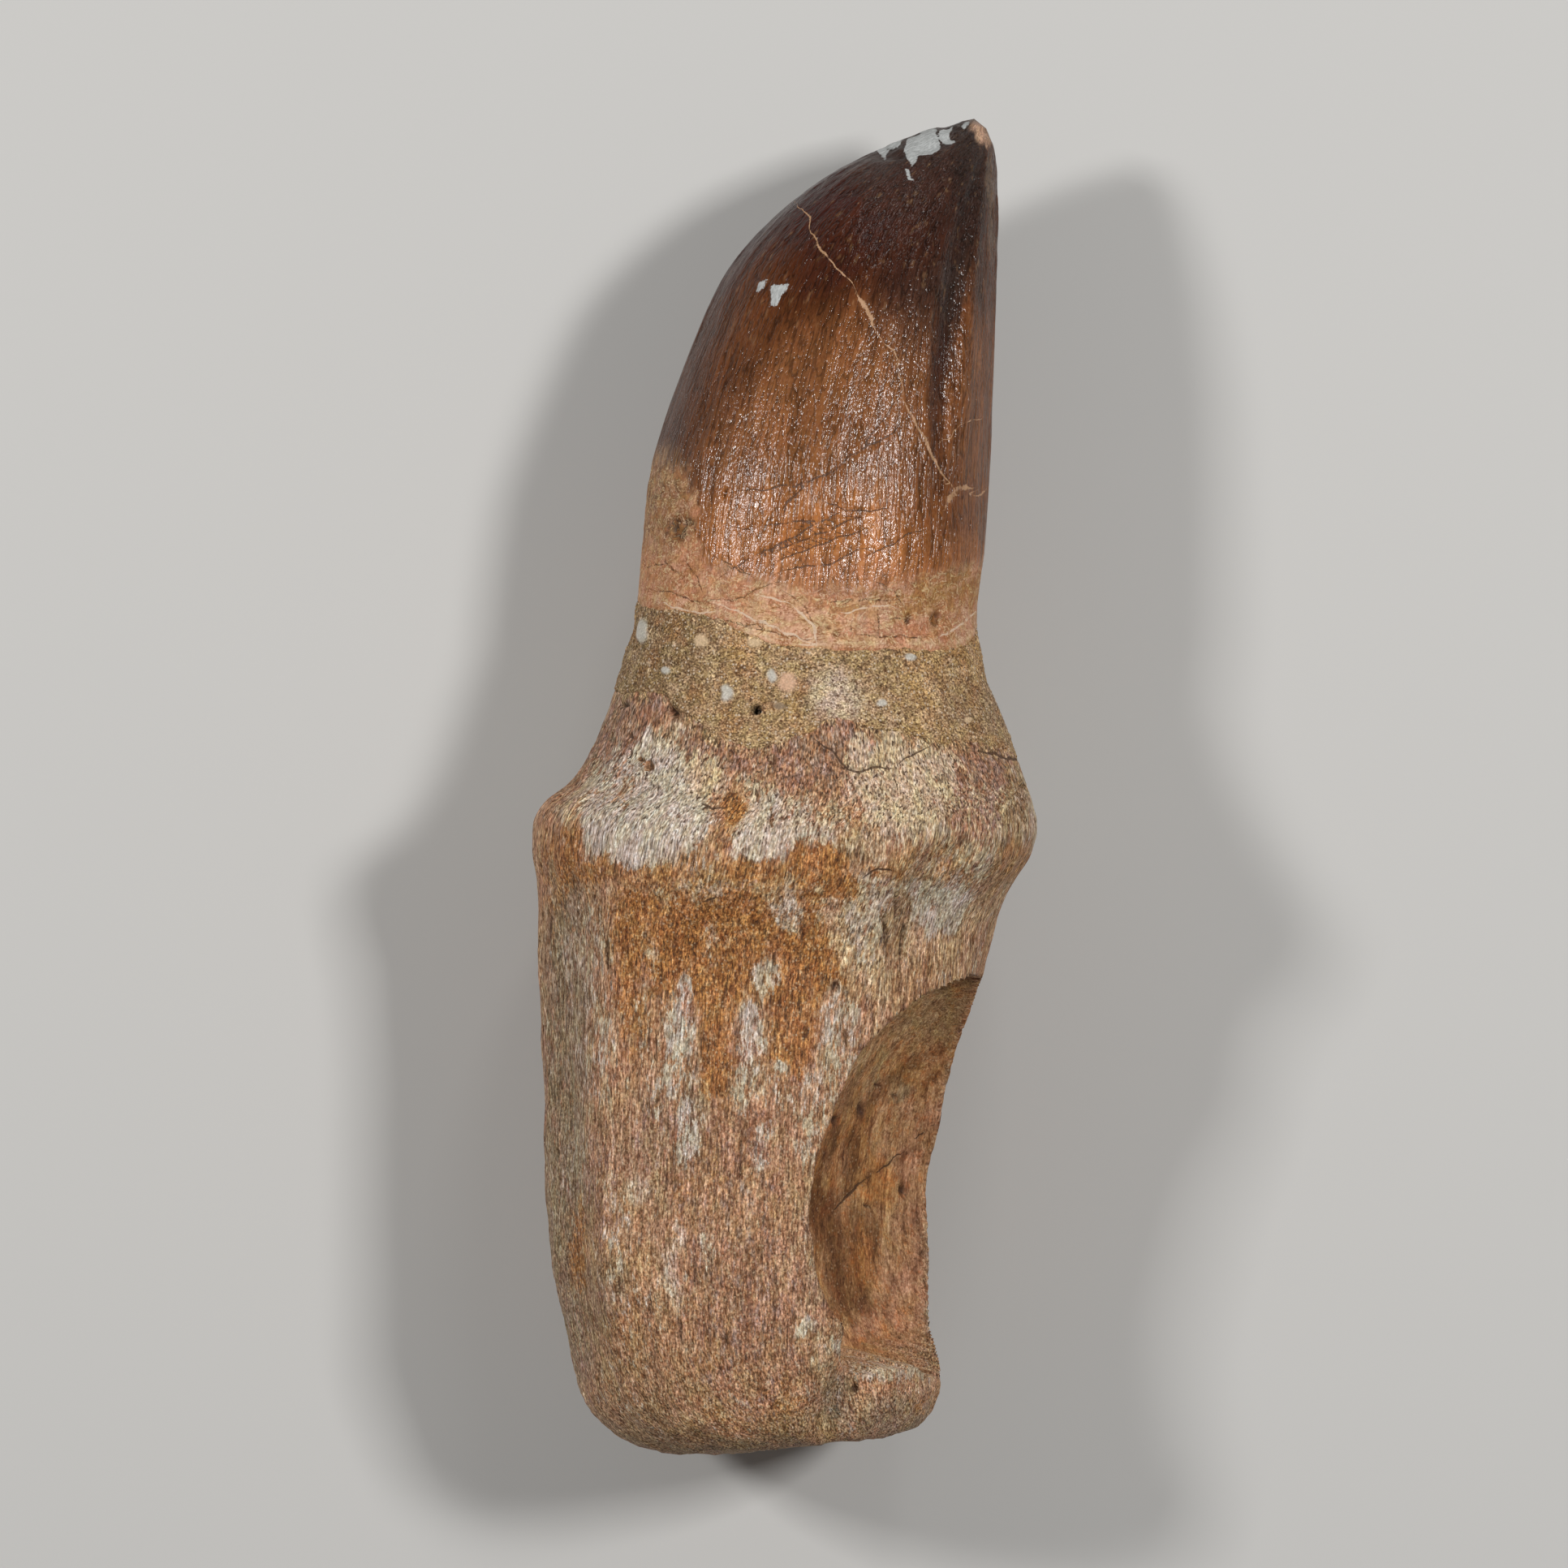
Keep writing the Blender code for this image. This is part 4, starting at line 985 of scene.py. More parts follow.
def make_crown(material):
    """The enamelled crown, from under the collar up to the worn tip."""
    around, count = CROWN_GRID
    angles = spread_angles(around)
    edge = along_at(smooth_round(CROWN_EDGE, angles))
    shares = np.linspace(0, 1, count)
    shares = (0.75 * shares + 0.25 * np.sin(shares * math.pi / 2))[:, None]
    along = edge - TUCK_RUN + shares * (ALONG[-1] - edge + TUCK_RUN)
    coarse = surface(along, angles, inset=TUCK * ease(edge - along, -0.1, TUCK_RUN))
    flow = flow_places(coarse, along, angles, 14.0, 0.55)
    normals = skin_normals(coarse)
    px, py = pixel(coarse)
    z = coarse[..., 2]
    upper = ease(z, 13.0, 18.0)

    jitter_x, jitter_y = (2.5 * soft_noise(coarse, 0.9, salt, 2) for salt in (41, 42))
    chips = np.full(px.shape, NO_CHIP)
    for corners in CHALK_CHIPS:
        chips = np.maximum(chips, polygon_distance(px + 0.8 * jitter_x, py + 0.8 * jitter_y, corners))
    chips = np.where(upper > 0.2, chips, NO_CHIP)
    tan = crack_field(px + jitter_x, py + jitter_y, TAN_CRACKS + PALE_VEINS)
    dark = crack_field(px + jitter_x, py + jitter_y, DARK_CRACKS)
    tan[..., 1] *= upper
    dark[..., 1] *= upper
    border_y = np.interp(px + 3 * jitter_x, *np.array(ENAMEL_BORDER, float).T)
    under_border = along_at(18.3) + 0.8 * soft_noise(flow, 4.0, 43, 2)
    enamel_above = (border_y - py) * PIXEL_MM * upper + (along - under_border) * (1 - upper)
    enamel = ease(enamel_above + 0.7 * soft_noise(flow, (0.8, 1.6), 44, 3), -0.5, 0.9)

    wrinkles = soft_noise(flow, (0.46, 5.5), 45, 1)
    ripples = soft_noise(flow, (1.4, 9.0), 46, 2)
    height = enamel * (0.035 * wrinkles + 0.03 * ripples + 0.05)
    height += (1 - enamel) * 0.05 * soft_noise(coarse, 0.7, 47, 2)
    tan_mask = (1 - ease(np.abs(tan[..., 0]), 0.7, 1.4)) * tan[..., 1]
    dark_mask = (1 - ease(np.abs(dark[..., 0]), 0.7, 2.0)) * dark[..., 1]
    height += 0.03 * tan_mask * soft_noise(coarse, 0.5, 48) - 0.06 * dark_mask
    height += 0.05 * ease(chips, -1.5, 1.5)
    pitted = patch_mask(px, py, 841, 655, 19, 17) * upper
    corroded = ease(soft_noise(coarse, (0.55, 0.75), 49, 2), -0.05, 0.30) * pitted
    height -= 0.35 * corroded
    pits = sum(patch_mask(px + jitter_x, py + jitter_y, *spot) for spot in CROWN_PITS) * upper
    height -= 0.40 * pits
    broken = patch_mask(px, py, 1135, 172, 66, 24, -24) * upper
    height -= 0.35 * broken * ease(soft_noise(coarse, 1.6, 50, 2), -0.3, 0.5)
    points = coarse + normals * height[..., None]

    paint = Paint(points, flow, along_waver=10.0, across_waver=4.0)
    bare = 1 - enamel
    reach = np.interp(along, [along_at(12), along_at(57.4)], [0, 1])
    paint_enamel(paint, reach, angles, upper, 1 + 0.12 * wrinkles * enamel)
    paint_dentine(paint, bare, 1 + 0.12 * soft_noise(coarse, 0.5, 55, 2) * bare)
    rim = np.exp(-(((along - edge - 0.45 + 0.25 * soft_noise(flow, 1.2, 56, 2)) / 0.30) ** 2))
    paint.lay(rim * ease(soft_noise(flow, 1.6, 57, 2), -0.4, 0.2), CREAM, 0.7)
    lost = patch_mask(px + 2 * jitter_x, py + 2 * jitter_y, 815, 618, 40, 70) * upper
    worn = soft_noise(flow, (0.6, 0.9), 59, 3)
    paint.lay(lost, LOST_BROWN, 0.92)
    paint.lay(lost * ease(worn, 0.15, 0.5), FILLING, 0.6)
    paint.lay(lost * ease(-worn, 0.15, 0.45), UMBER, 0.7)
    paint.lay(pitted, LOST_BROWN, 0.6)
    paint.lay(corroded, SLIT_DARK, 0.85)
    paint.lay(pits, UMBER, 1.0)
    edge_line = np.exp(-((enamel_above / 0.16) ** 2)) * ease(soft_noise(flow, 1.1, 60, 2), -0.3, 0.2)
    paint.lay(edge_line, UMBER, 0.55)
    paint.lay(broken, TIP_BLACK_AND_SHEEN, 0.6)

    values = {
        "tint": paint.limited(),
        "flow": flow,
        "enamel": enamel,
        "shine": 0.17 + 0.38 * bare + 0.15 * broken,
        "chips": chips,
        "tan_cracks": tan,
        "dark_cracks": dark,
    }
    start_pole = coarse[0].mean(axis=0)
    return skin_object("enamel_crown", points, material, values, poles=(start_pole, TIP_POLE))


# Collar

INNER_ROWS = 8  # rows on the collar's inside
EDGE_REACH = 0.45  # how far its edges go out over the bone and the dentine
COLLAR_THICK = 1.5
# Pebbles in the matrix: x, y, half sizes in pixels, height and colour.
PEBBLES = (
    (897, 856, 8, 11, 0.25, PEBBLE_GREY), (866, 792, 10, 9, 0.2, CREAM),
    (793, 779, 8, 16, 0.2, PEBBLE_GREY), (951, 835, 6, 9, 0.15, PEBBLE_GREY),
    (971, 843, 13, 13, 0.25, PEBBLE_PINK), (822, 828, 6, 5, 0.15, PEBBLE_GREY),
    (930, 795, 9, 6, 0.15, CREAM), (1118, 812, 7, 5, 0.15, PEBBLE_GREY), (960, 872, 8, 5, 0.12, GREY_TAN),
    (1085, 868, 7, 5, 0.15, PEBBLE_GREY), (915, 770, 7, 5, 0.15, CREAM), (1190, 888, 6, 4, 0.12, CREAM),
)


def make_collar(material):
    """The ring of cemented sand, whose thin ragged edges sink into the tooth."""
    around, count = COLLAR_GRID
    angles = spread_angles(around)
    low, high = (along_at(smooth_round(edge, angles)) for edge in (ROOT_EDGE, CROWN_EDGE))
    shares = np.linspace(0, 1, count - INNER_ROWS)[:, None]
    along = low - EDGE_REACH + shares * (high - low + 2 * EDGE_REACH)
    base = surface(along, angles)
    flow = flow_places(base, along, angles, 15.0, 0.5)
    normals = skin_normals(base)
    ragged = 0.30 * soft_noise(flow, 1.3, 61, 3)
    from_edge = np.minimum(along - low, high - along) + ragged
    sunk = 1 - ease(from_edge, -0.35, 0.25)
    first, number = cells(base, 0.34, 62)
    coarse_first, coarse_number = cells(base, 0.85, 63)
    px, py = pixel(base)
    upper = ease(base[..., 2], 13.0, 19.0)
    height = 0.10 * (0.55 - first) * (0.5 + number) + 0.06 * (0.5 - coarse_first) * (coarse_number > 0.6)
    height += 0.10 * soft_noise(base, 2.2, 64, 2) - 0.5 * sunk + 0.04
    hole = patch_mask(px, py, 933, 876, 6, 6) * upper
    height -= 0.9 * hole

    paint = Paint(base, flow, along_waver=4.0, across_waver=4.0)
    paint.base(SAND)
    paint.upper = upper
    paint.lay(ease(soft_noise(base, 5.0, 65, 2), 0.0, 0.6), KHAKI, 0.6)
    paint.lay(ease(soft_noise(base, 4.0, 66, 2), 0.1, 0.6), OCHRE, 0.35)
    paint.lay(paint.patch(1028, 860, 30, 34, 0.5, -25), WHITE_BONE, 0.55)
    paint.lay(paint.patch(800, 815, 70, 80, 0.5, 0), KHAKI, 0.9)
    paint.shade(1 - 0.22 * paint.patch(800, 815, 80, 80, 0.5, 0))
    paint.lay(paint.patch(1200, 880, 50, 40, 0.5, 0), GREY_TAN, 0.4)
    drift = soft_noise(base, 1.6, 69, 3)
    paint.lay(ease(drift, 0.1, 0.6), BROWN, 0.35)
    paint.lay(ease(-drift, 0.2, 0.6), CREAM, 0.30)
    paint.shade(0.82 + 0.36 * number)
    paint.lay((number > 0.92) * (1 - ease(first, 0.25, 0.5)), CREAM, 0.75)
    paint.lay((number < 0.05) * 1.0, SLIT_DARK, 0.4)
    speck = (coarse_number > 0.93) * (1 - ease(coarse_first, 0.22, 0.38))
    paint.lay(speck, CREAM, 0.8)
    height += 0.08 * speck
    pebble = np.zeros(px.shape)
    for x, y, half_x, half_y, tall, colour in PEBBLES:
        shape = patch_mask(px + 1.5 * soft_noise(base, 0.6, 67), py, x, y, half_x, half_y) * upper
        pebble = np.maximum(pebble, shape)
        height = height * (1 - shape) + shape * (tall + 0.02 * soft_noise(base, 0.5, 68))
        paint.lay(shape, colour, 0.9)
    # Painted shade: the hole in the collar is painted nearly black.
    paint.lay(hole, HOLE_SHADE_BLACK)
    outside = base + normals * height[..., None]

    back = np.linspace(1, 0, INNER_ROWS + 2)[1:-1, None]
    inner_along = low - EDGE_REACH + back * (high - low + 2 * EDGE_REACH)
    inside = surface(inner_along, angles, inset=COLLAR_THICK)
    values = {
        "tint": np.concatenate([paint.limited(), np.full(inside.shape, 0.2)]),
        "flow": np.concatenate([flow, inside]),
        "pebble": np.pad(pebble, [(0, INNER_ROWS), (0, 0)]),
    }
    return skin_object("sandy_collar", np.concatenate([outside, inside]), material, values)


# Materials


class Nodes:
    """Short ways to add and join a material's nodes."""

    def __init__(self, name, roughness, specular):
        self.material = bpy.data.materials.new(name)
        self.material.use_nodes = True
        self.tree = self.material.node_tree
        self.shader = self.tree.nodes["Principled BSDF"]
        self.shader.inputs["Roughness"].default_value = roughness
        self.shader.inputs["Specular IOR Level"].default_value = specular

    def fill(self, socket, value):
        if isinstance(value, bpy.types.NodeSocket):
            self.tree.links.new(value, socket)
        elif value is not None:
            socket.default_value = value

    def add(self, kind, inputs=(), output=0, **settings):
        node = self.tree.nodes.new(kind)
        for key, value in settings.items():
            setattr(node, key, value)
        for key, value in dict(inputs).items():
            self.fill(node.inputs[key], value)
        return node.outputs[output]

    def value(self, name):
        return self.add("ShaderNodeAttribute", output=2, attribute_name=name)

    def colour(self, name):
        return self.add("ShaderNodeAttribute", output=0, attribute_name=name)

    def vector(self, name):
        return self.add("ShaderNodeAttribute", output=1, attribute_name=name)

    def math(self, operation, a, b=None, c=None, clamp=False):
        return self.add("ShaderNodeMath", {0: a, 1: b, 2: c}, operation=operation, use_clamp=clamp)

    def times(self, a, b):
        return self.math("MULTIPLY", a, b)

    def linear(self, value, factor, offset):
        return self.math("MULTIPLY_ADD", value, factor, offset)

    def inverse(self, share):
        """What is left of 1."""
        return self.math("SUBTRACT", 1.0, share)

    def from_middle(self, noise):
        """How far a noise is from its middle value, which makes its folds and veins."""
        return self.math("ABSOLUTE", self.math("SUBTRACT", noise, 0.5))

    def scaled(self, vector, across, along):
        """Places for a texture whose features are this many millimetres wide and long."""
        size = (1 / across, 1 / along, 1 / across)
        return self.add("ShaderNodeVectorMath", {0: vector, 1: size}, operation="MULTIPLY")

    def noise(self, places, across, along, detail=2.0, roughness=0.5, distortion=0.0):
        inputs = {"Vector": self.scaled(places, across, along), "Scale": 1.0, "Detail": detail}
        return self.add("ShaderNodeTexNoise", {**inputs, "Roughness": roughness, "Distortion": distortion})

    def step(self, value, start, end, low=0.0, high=1.0):
        inputs = {"Value": value, "From Min": start, "From Max": end, "To Min": low, "To Max": high}
        return self.add("ShaderNodeMapRange", inputs, interpolation_type="SMOOTHSTEP")

    def mix(self, share, a, b, blend="MIX"):
        node = self.tree.nodes.new("ShaderNodeMix")
        node.data_type, node.blend_type = "RGBA", blend
        for key, value in ((0, share), (6, a), (7, b)):
            if isinstance(value, tuple) and len(value) == 3:
                value = (*value, 1.0)
            self.fill(node.inputs[key], value)
        return node.outputs[2]

    def multiplied(self, colour, other):
        return self.mix(1.0, colour, other, "MULTIPLY")

    def brighten(self, colour, factor):
        """A colour times a number."""
        return self.multiplied(colour, self.add("ShaderNodeCombineColor", {0: factor, 1: factor, 2: factor}))

    def laid(self, colour, mask, strength, tone):
        """A colour with a tone laid on it where the mask is."""
        return self.mix(self.times(mask, strength), colour, tone)

    def tinged(self, colour, *rows):
        """A colour with tones on it. A row has a noise, where its tone starts and is full, and a strength."""
        for noise, start, full, strength, tone in rows:
            colour = self.mix(self.step(noise, start, full, 0.0, strength), colour, tone)
        return colour

    def mottled(self, colour, noise, strength):
        """Darkens and reddens a colour where the noise is low, and pales it where the noise is high."""
        dark, light = (self.multiplied(colour, factor) for factor in (DARKER, LIGHTER))
        darker = self.laid(colour, self.step(noise, 0.48, 0.37), strength, dark)
        return self.laid(darker, self.step(noise, 0.52, 0.63), strength, light)

    def cast(self, colour, noise, strength):
        """Turns a colour more golden where the noise is high, and rosier where it is low."""
        cast = self.mix(self.step(noise, 0.36, 0.64), ROSE_CAST, GOLD_CAST)
        return self.mix(strength, colour, cast, "MULTIPLY")

    def parts(self, name):
        """The three numbers of a named vector."""
        node = self.add("ShaderNodeSeparateXYZ", {0: self.vector(name)}).node
        return node.outputs[0], node.outputs[1], node.outputs[2]

    def own_places(self):
        """Places on the object, in millimetres."""
        place = self.add("ShaderNodeTexCoord", output=3)
        return self.add("ShaderNodeVectorMath", {0: place, 1: (1 / MM, 1 / MM, 1 / MM)}, operation="MULTIPLY")

    def ragged(self, cover, noise, strength, soft=0.11):
        """A crisp mask that covers about this share of the surface, broken up by noise."""
        shifted = self.math("ADD", cover, self.linear(noise, strength, -strength / 2))
        return self.step(shifted, 0.5 - soft, 0.5 + soft)

    def grains(self, places, size):
        """Distance to the middle of each grain, and the grain's own number."""
        inputs = {"Vector": self.scaled(places, size, size), "Scale": 1.0}
        grain = self.add("ShaderNodeTexVoronoi", inputs)
        return grain, self.add("ShaderNodeSeparateColor", {0: grain.node.outputs[1]})

    def line_mask(self, name, start, end, jitter):
        """A sharp mask along cracks, from their signed share of half width and nearness."""
        share, near, _ = self.parts(name)
        distance = self.math("ADD", self.math("ABSOLUTE", share), jitter)
        return self.times(self.step(distance, start, end, 1.0, 0.0), near)

    def finish(self, colour, roughness, heights):
        """Joins colour, roughness and bumps. Each has a height, a distance in millimetres and a strength."""
        self.fill(self.shader.inputs["Base Color"], colour)
        self.fill(self.shader.inputs["Roughness"], roughness)
        normal = None
        for height, distance, strength in heights:
            inputs = {"Height": height, "Distance": distance * MM, "Strength": strength}
            if normal is not None:
                inputs["Normal"] = normal
            normal = self.add("ShaderNodeBump", inputs)
        self.fill(self.shader.inputs["Normal"], normal)
        return self.material


def enamel_material():
    nodes = Nodes("fossil_enamel", 0.3, 0.32)
    flow = nodes.vector("flow")
    enamel = nodes.value("enamel")
    wrinkle = nodes.noise(flow, 0.38, 4.2, 1.0, 0.4, 0.35)
    fold = nodes.from_middle(wrinkle)
    ridge = nodes.times(nodes.step(fold, 0.0, 0.12), enamel)
    streak = nodes.noise(flow, 0.8, 7.0, 2.0, 0.55, 0.3)
    fine = nodes.noise(flow, 0.18, 0.40, 1.5, 0.5)
    colour = nodes.colour("tint")
    # Painted shade in the grooves of the wrinkles, darkening the enamel's colour along them.
    groove_shade = nodes.step(fold, 0.0, 0.07, 0.52, 1.08)
    colour = nodes.mix(enamel, colour, nodes.brighten(colour, groove_shade))
    colour = nodes.brighten(colour, nodes.step(streak, 0.30, 0.70, 0.86, 1.15))
    colour = nodes.mottled(colour, fine, 0.30)
    specks = nodes.noise(flow, 0.28, 0.42, 1.0)
    colour = nodes.tinged(colour, (specks, 0.76, 0.82, 0.45, FILLING))
    jitter = nodes.linear(nodes.noise(flow, 0.20, 0.20, 3.0, 0.65), 3.0, -1.5)
    gone = nodes.step(nodes.noise(flow, 0.9, 0.9, 2.0), 0.34, 0.46, 0.15, 1.0)
    dark = nodes.times(nodes.line_mask("dark_cracks", 0.4, 1.1, jitter), gone)
    colour = nodes.laid(colour, dark, 0.80, SLIT_DARK)
    marble = nodes.noise(flow, 1.3, 1.1, 3.0, 0.6, 0.8)
    vein = nodes.from_middle(marble)
    crackle = nodes.from_middle(nodes.noise(flow, 2.2, 1.3, 4.0, 0.62, 0.6))
    bare = nodes.inverse(enamel)
    for marks, start, full, strength, tone in (
        (vein, 0.026, 0.010, 0.70, CREAM),
        (marble, 0.55, 0.62, 0.60, DENTINE_PALE),
        (marble, 0.44, 0.34, 0.45, RUST),
        (crackle, 0.022, 0.007, 0.80, BROWN),
    ):
        colour = nodes.laid(colour, nodes.step(marks, start, full, 0.0, strength), bare, tone)
    tones = nodes.noise(flow, 1.40, 1.00, 3.0, 0.65)
    colour = nodes.cast(colour, tones, nodes.linear(bare, 0.50, 0.35))
    crumbs = nodes.noise(flow, 0.20, 0.20, 2.0, 0.6)
    colour = nodes.mix(bare, colour, nodes.mottled(colour, crumbs, 0.40))
    tan = nodes.times(nodes.line_mask("tan_cracks", 0.50, 1.00, jitter), gone)
    shift = nodes.step(nodes.noise(flow, 0.35, 0.35, 2.0), 0.35, 0.65)
    filling = nodes.mix(bare, nodes.mix(shift, FILLING, DENTINE_PALE), VEIN_WHITE)
    colour = nodes.laid(colour, tan, 0.85, filling)
    chip_edge = nodes.math("ADD", nodes.value("chips"), nodes.times(jitter, 1.9))
    chips = nodes.step(chip_edge, -0.5, 0.7)
    chalk = nodes.brighten(CHALK, nodes.step(fine, 0.3, 0.7, 0.82, 1.12))
    colour = nodes.laid(colour, chips, 0.95, chalk)
    rough = nodes.math("ADD", nodes.value("shine"), nodes.linear(streak, 0.14, -0.07))
    matt = nodes.math("MAXIMUM", nodes.math("MAXIMUM", tan, chips), nodes.times(dark, 0.5))
    rough = nodes.math("ADD", rough, nodes.times(matt, 0.4), clamp=True)
    closed = nodes.inverse(dark)
    heights = ((ridge, 0.024, 1.0), (fine, 0.070, 1.0), (closed, 0.04, 0.8), (chips, 0.05, 0.6))
    return nodes.finish(colour, rough, heights)


def pit_colour(nodes, colour, flow, blots):
    """Stripes and blotches on the walls of the resorption pit."""
    stripes = nodes.noise(flow, 0.50, 3.0, 4.0, 0.72, 0.6)
    dark, light, red = (nodes.multiplied(colour, factor) for factor in (PIT_DARKER, PIT_LIGHTER, PIT_REDDER))
    return nodes.tinged(
        colour,
        (blots, 0.53, 0.60, 0.70, red),
        (stripes, 0.52, 0.60, 0.45, light),
        (blots, 0.43, 0.37, 0.70, dark),
        (stripes, 0.45, 0.39, 0.70, dark),
    )


def bone_material():
    nodes = Nodes("fossil_bone", 0.75, 0.3)
    flow = nodes.vector("flow")
    pale, stain, rose = nodes.parts("cover")
    warm, fibrous, grainy = nodes.parts("kind")
    at = nodes.own_places()
    flakes = nodes.noise(flow, 0.42, 1.5, 4.0, 0.75)
    blots = nodes.noise(at, 0.85, 1.1, 5.0, 0.76)
    hue = nodes.noise(flow, 0.55, 1.4, 4.0, 0.72)
    speckle = nodes.noise(flow, 0.17, 0.60, 2.0, 0.6)
    fibres = nodes.noise(flow, 0.16, 1.6, 2.0, 0.6, 0.2)
    crumbs = nodes.noise(flow, 0.15, 0.25, 1.5, 0.6)

    colour = nodes.tinged(
        nodes.colour("tint"),
        (hue, 0.52, 0.62, 0.35, KHAKI),
        (hue, 0.46, 0.37, 0.60, RED_BONE),
        (blots, 0.57, 0.66, 0.50, CREAM),
    )
    rose_colour = nodes.mix(nodes.step(hue, 0.40, 0.60), PURPLE, RED_BONE)
    colour = nodes.mix(nodes.ragged(rose, flakes, 2.4), colour, rose_colour)
    stain_colour = nodes.tinged(
        BROWN,
        (hue, 0.42, 0.56, 0.90, RUST),
        (blots, 0.53, 0.62, 0.75, FILLING),
        (blots, 0.44, 0.36, 0.60, UMBER),
    )
    colour = nodes.mix(nodes.ragged(stain, blots, 2.4, 0.16), colour, stain_colour)
    pale_colour = nodes.tinged(nodes.mix(warm, WHITE_BONE, CREAM), (hue, 0.48, 0.58, 0.40, ROSE_WHITE))
    pale_colour = nodes.brighten(pale_colour, 0.87)
    crust = nodes.ragged(pale, flakes, -2.4, 0.12)
    colour = nodes.mix(crust, colour, pale_colour)
    sandy = nodes.math("MAXIMUM", grainy, nodes.times(stain, 0.70))

    colour = nodes.mix(nodes.value("hollow"), colour, pit_colour(nodes, nodes.colour("tint"), flow, blots))
    broad = nodes.noise(flow, 0.60, 6.0, 5.0, 0.72)
    tones = nodes.noise(flow, 1.30, 3.0, 3.0, 0.62)
    colour = nodes.cast(colour, tones, 0.65)
    colour = nodes.mottled(colour, broad, nodes.linear(crust, -0.25, 0.55))
    calm = nodes.math("MAXIMUM", nodes.value("hollow"), nodes.times(crust, 0.60))
    colour = nodes.mottled(colour, speckle, nodes.step(calm, 0.0, 1.0, 0.90, 0.45))
    fibrous = nodes.times(fibrous, nodes.step(nodes.value("hollow"), 0.0, 1.0, 1.0, 0.55))
    fibre_tone = nodes.step(fibres, 0.34, 0.66, 0.47, 1.45)
    colour = nodes.mix(fibrous, colour, nodes.brighten(colour, fibre_tone))
    crumb_tone = nodes.step(crumbs, 0.34, 0.66, 0.46, 1.52)
    colour = nodes.mix(sandy, colour, nodes.brighten(colour, crumb_tone))
    short = nodes.step(nodes.noise(flow, 0.19, 1.2, 1.0), 0.64, 0.68)
    long = nodes.step(nodes.noise(flow, 0.23, 3.4, 1.0), 0.68, 0.72)
    either = nodes.math("MAXIMUM", short, long)
    slits = nodes.times(either, nodes.linear(fibrous, 0.80, 0.1))
    colour = nodes.mix(slits, colour, SLIT_DARK)
    crystal, crystal_share = nodes.grains(at, 0.26)
    bright = nodes.times(nodes.step(crystal_share, 0.80, 0.82), nodes.step(crystal, 0.25, 0.50, 1.0, 0.0))
    colour = nodes.laid(colour, bright, nodes.times(sandy, 0.80), CREAM)
    hole = nodes.times(nodes.step(crystal_share, 0.09, 0.07), nodes.step(crystal, 0.2, 0.45, 1.0, 0.0))
    colour = nodes.laid(colour, hole, nodes.times(sandy, 0.85), SLIT_DARK)
    jitter = nodes.linear(nodes.noise(at, 0.20, 0.20, 2.0), 0.9, -0.45)
    cracks = nodes.line_mask("cracks", 0.55, 1.15, jitter)
    colour = nodes.laid(colour, cracks, 0.85, SLIT_DARK)

    rough = nodes.step(crumbs, 0.3, 0.7, 0.85, 0.55)
    open_slits = nodes.inverse(nodes.math("MAXIMUM", slits, cracks))
    heights = (
        (nodes.times(fibres, nodes.linear(fibrous, 0.8, 0.2)), 0.10, 0.9),
        (nodes.times(crumbs, nodes.linear(grainy, 0.8, 0.2)), 0.09, 0.9),
        (open_slits, 0.10, 0.8),
        (crust, 0.05, 0.6),
    )
    return nodes.finish(colour, rough, heights)


def sand_material():
    nodes = Nodes("sandy_matrix", 0.85, 0.3)
    at = nodes.own_places()
    plain = nodes.inverse(nodes.times(nodes.value("pebble"), 0.85))
    distance, shade = nodes.grains(at, 0.24)
    _, small_shade = nodes.grains(at, 0.15)
    fine = nodes.noise(at, 0.17, 0.17, 3.0, 0.6)
    loose = nodes.brighten(nodes.colour("tint"), nodes.step(fine, 0.32, 0.68, 0.58, 1.42))
    loose = nodes.mottled(loose, fine, 0.50)
    loose = nodes.cast(loose, nodes.noise(at, 1.3, 1.3, 3.0, 0.65), 0.70)
    loose = nodes.brighten(loose, nodes.step(small_shade, 0.0, 1.0, 0.72, 1.28))
    middle = nodes.step(distance, 0.30, 0.55, 1.0, 0.0)
    light = nodes.times(nodes.step(shade, 0.83, 0.86), middle)
    pale_grain = nodes.mix(nodes.step(fine, 0.4, 0.6), CREAM, WHITE_BONE)
    loose = nodes.laid(loose, light, 0.85, pale_grain)
    loose = nodes.tinged(loose, (small_shade, 0.92, 0.94, 0.60, CREAM))
    dark = nodes.times(nodes.step(shade, 0.08, 0.06), middle)
    loose = nodes.laid(loose, dark, 0.80, SLIT_DARK)
    loose = nodes.tinged(loose, (small_shade, 0.08, 0.06, 0.65, UMBER))
    pebbles = nodes.brighten(nodes.colour("tint"), nodes.step(fine, 0.3, 0.7, 0.88, 1.10))
    colour = nodes.mix(plain, pebbles, loose)
    rough = nodes.step(shade, 0.0, 1.0, 0.95, 0.55)
    bumps = nodes.times(nodes.step(distance, 0.1, 0.8, 1.0, 0.0), plain)
    heights = ((bumps, 0.09, 0.9), (fine, 0.04, 0.7))
    return nodes.finish(colour, rough, heights)


def floor_material():
    nodes = Nodes("pale_floor", 0.8, 0.2)
    nodes.fill(nodes.shader.inputs["Base Color"], FLOOR_COLOUR)
    return nodes.material


# Stage

FLOOR_HALF = 1.5
FLOOR_COLOUR = (0.57, 0.56, 0.54, 1.0)
SKY_STRENGTH = 0.12
# Name, direction from the tooth and power of each soft box.
LIGHTS = (
    ("key_light", (-0.67, 0.24, 0.70), 1.90),
    ("fill_light", (0.55, 0.16, 0.82), 2.10),
    ("tip_light", (0.16, 0.80, 0.50), 0.30),
)
LIGHT_DISTANCE, LIGHT_SIZE = 0.60, 0.09
FOCAL_LENGTH = 200.0
SENSOR = 36.0


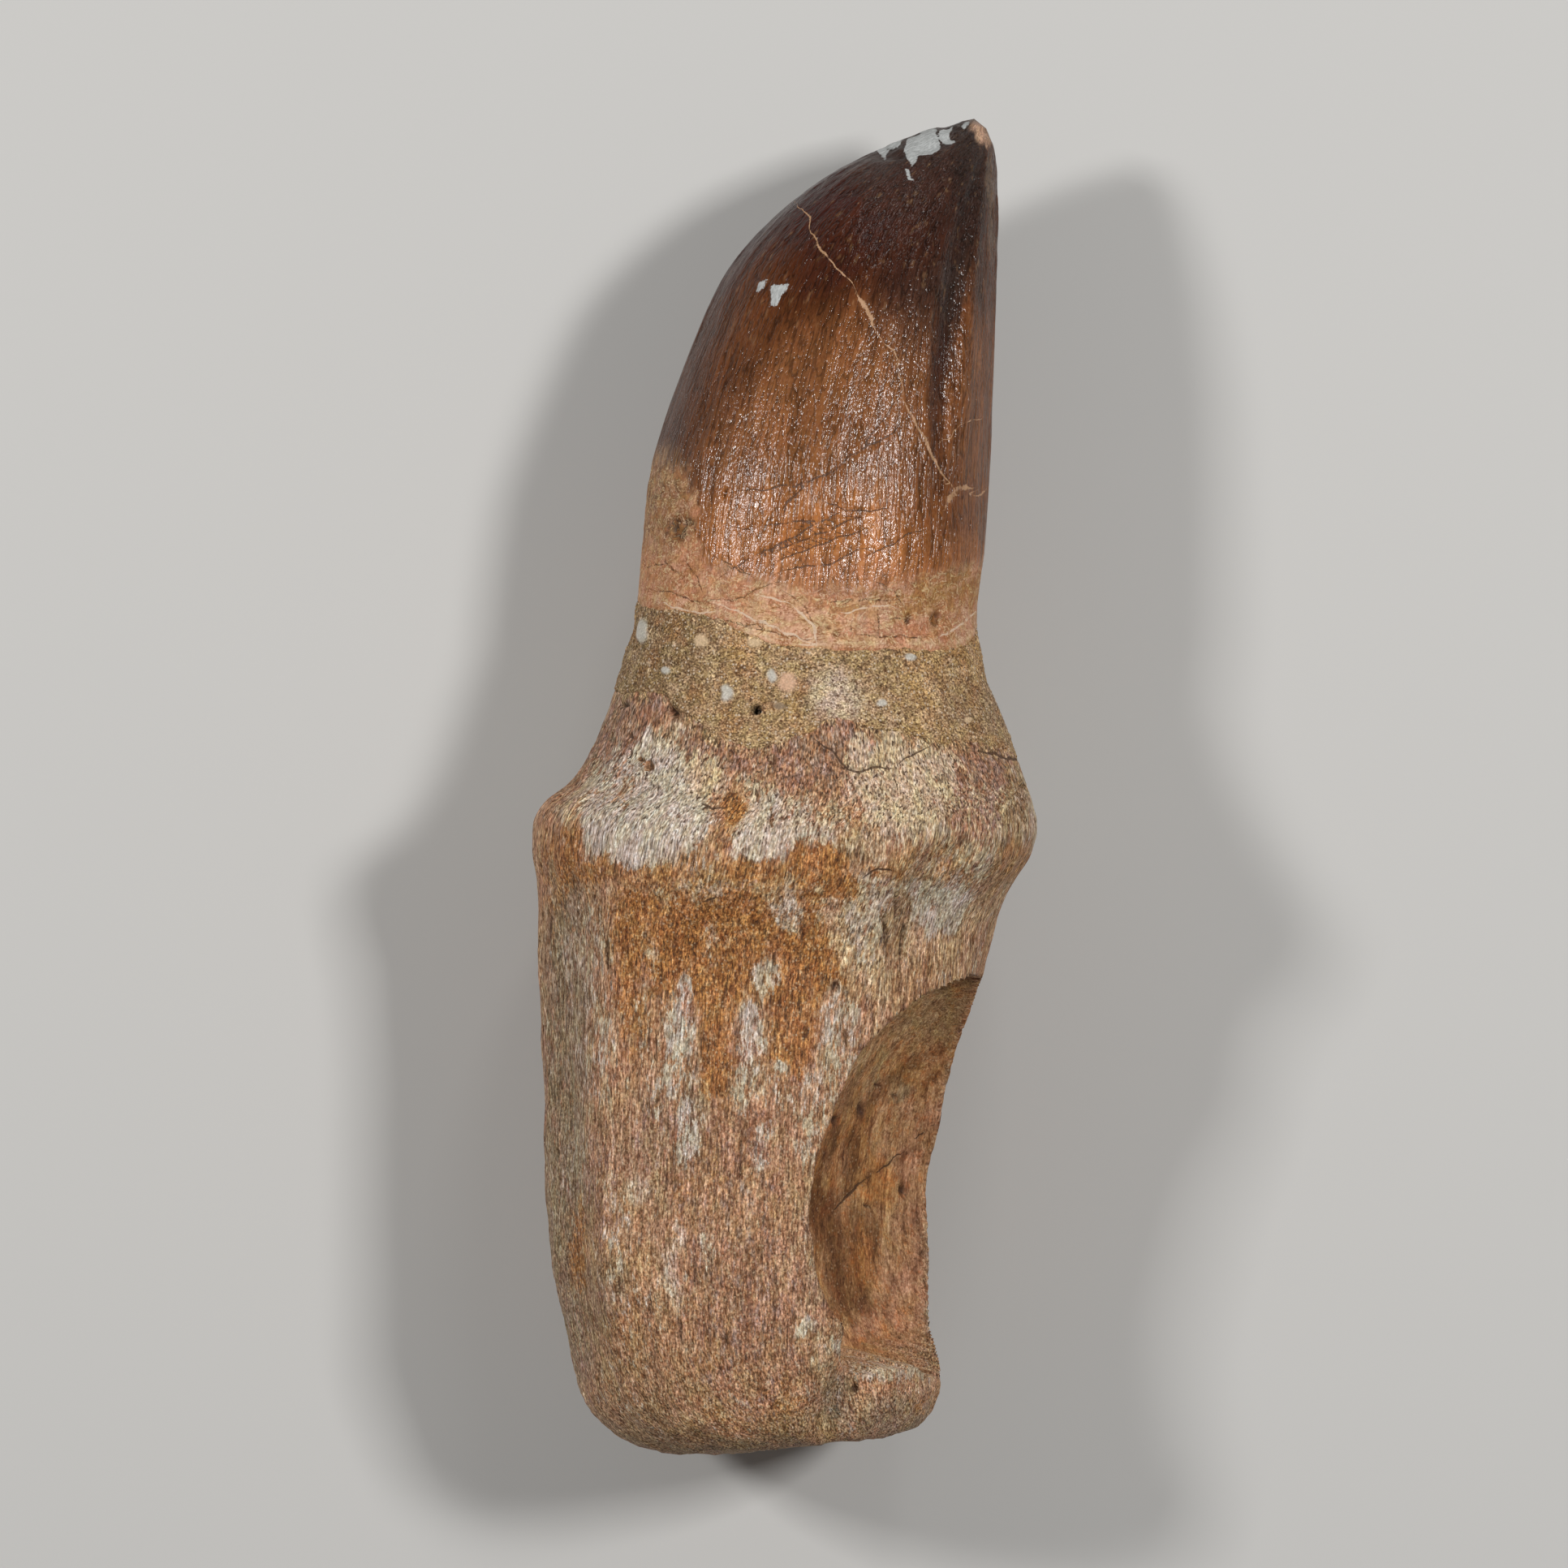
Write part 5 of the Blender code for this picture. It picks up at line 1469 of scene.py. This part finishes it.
def make_stage():
    """A plain pale floor, three soft boxes, an even sky and a camera that looks straight down."""
    mesh = bpy.data.meshes.new("floor")
    corners = [(-1, -1, 0), (1, -1, 0), (1, 1, 0), (-1, 1, 0)]
    mesh.from_pydata([tuple(FLOOR_HALF * c for c in corner) for corner in corners], [], [(0, 1, 2, 3)])
    mesh.materials.append(floor_material())
    floor = bpy.data.objects.new("floor", mesh)
    bpy.context.scene.collection.objects.link(floor)

    for name, direction, power in LIGHTS:
        soft_box(name, direction, power)
    world = bpy.data.worlds.new("even_sky")
    world.use_nodes = True
    world.node_tree.nodes["Background"].inputs["Color"].default_value = (1, 1, 1, 1)
    world.node_tree.nodes["Background"].inputs["Strength"].default_value = SKY_STRENGTH
    bpy.context.scene.world = world

    camera = bpy.data.objects.new("camera", bpy.data.cameras.new("camera"))
    camera.data.lens, camera.data.sensor_width = FOCAL_LENGTH, SENSOR
    frame_width = PHOTO_PIXELS * PIXEL_MM * MM
    middle = PHOTO_PIXELS / 2
    x = (middle - PHOTO_ORIGIN[0]) * PIXEL_MM * MM
    y = (PHOTO_ORIGIN[1] - middle) * PIXEL_MM * MM
    camera.location = (x, y, MIDDLE_HEIGHT * MM + frame_width * FOCAL_LENGTH / SENSOR)
    bpy.context.scene.collection.objects.link(camera)
    bpy.context.scene.camera = camera
    bpy.context.scene.view_settings.view_transform = "Standard"


def soft_box(name, direction, power):
    """A square soft light that faces the tooth's middle from a direction."""
    light = bpy.data.lights.new(name, "AREA")
    light.size, light.energy = LIGHT_SIZE, power
    obj = bpy.data.objects.new(name, light)
    toward = Vector(direction).normalized()
    obj.location = toward * LIGHT_DISTANCE + Vector((0, 0, MIDDLE_HEIGHT * MM))
    obj.rotation_euler = toward.to_track_quat("Z", "Y").to_euler()
    bpy.context.scene.collection.objects.link(obj)


def main():
    pieces = (
        (make_root(bone_material()), "tooth", "root_bone"),
        (make_crown(enamel_material()), "tooth", "tooth_enamel"),
        (make_collar(sand_material()), "matrix_collar", "sandy_matrix"),
    )
    for piece, node, slot in pieces:
        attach(piece, "root")
        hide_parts(node)
    make_stage()


main()
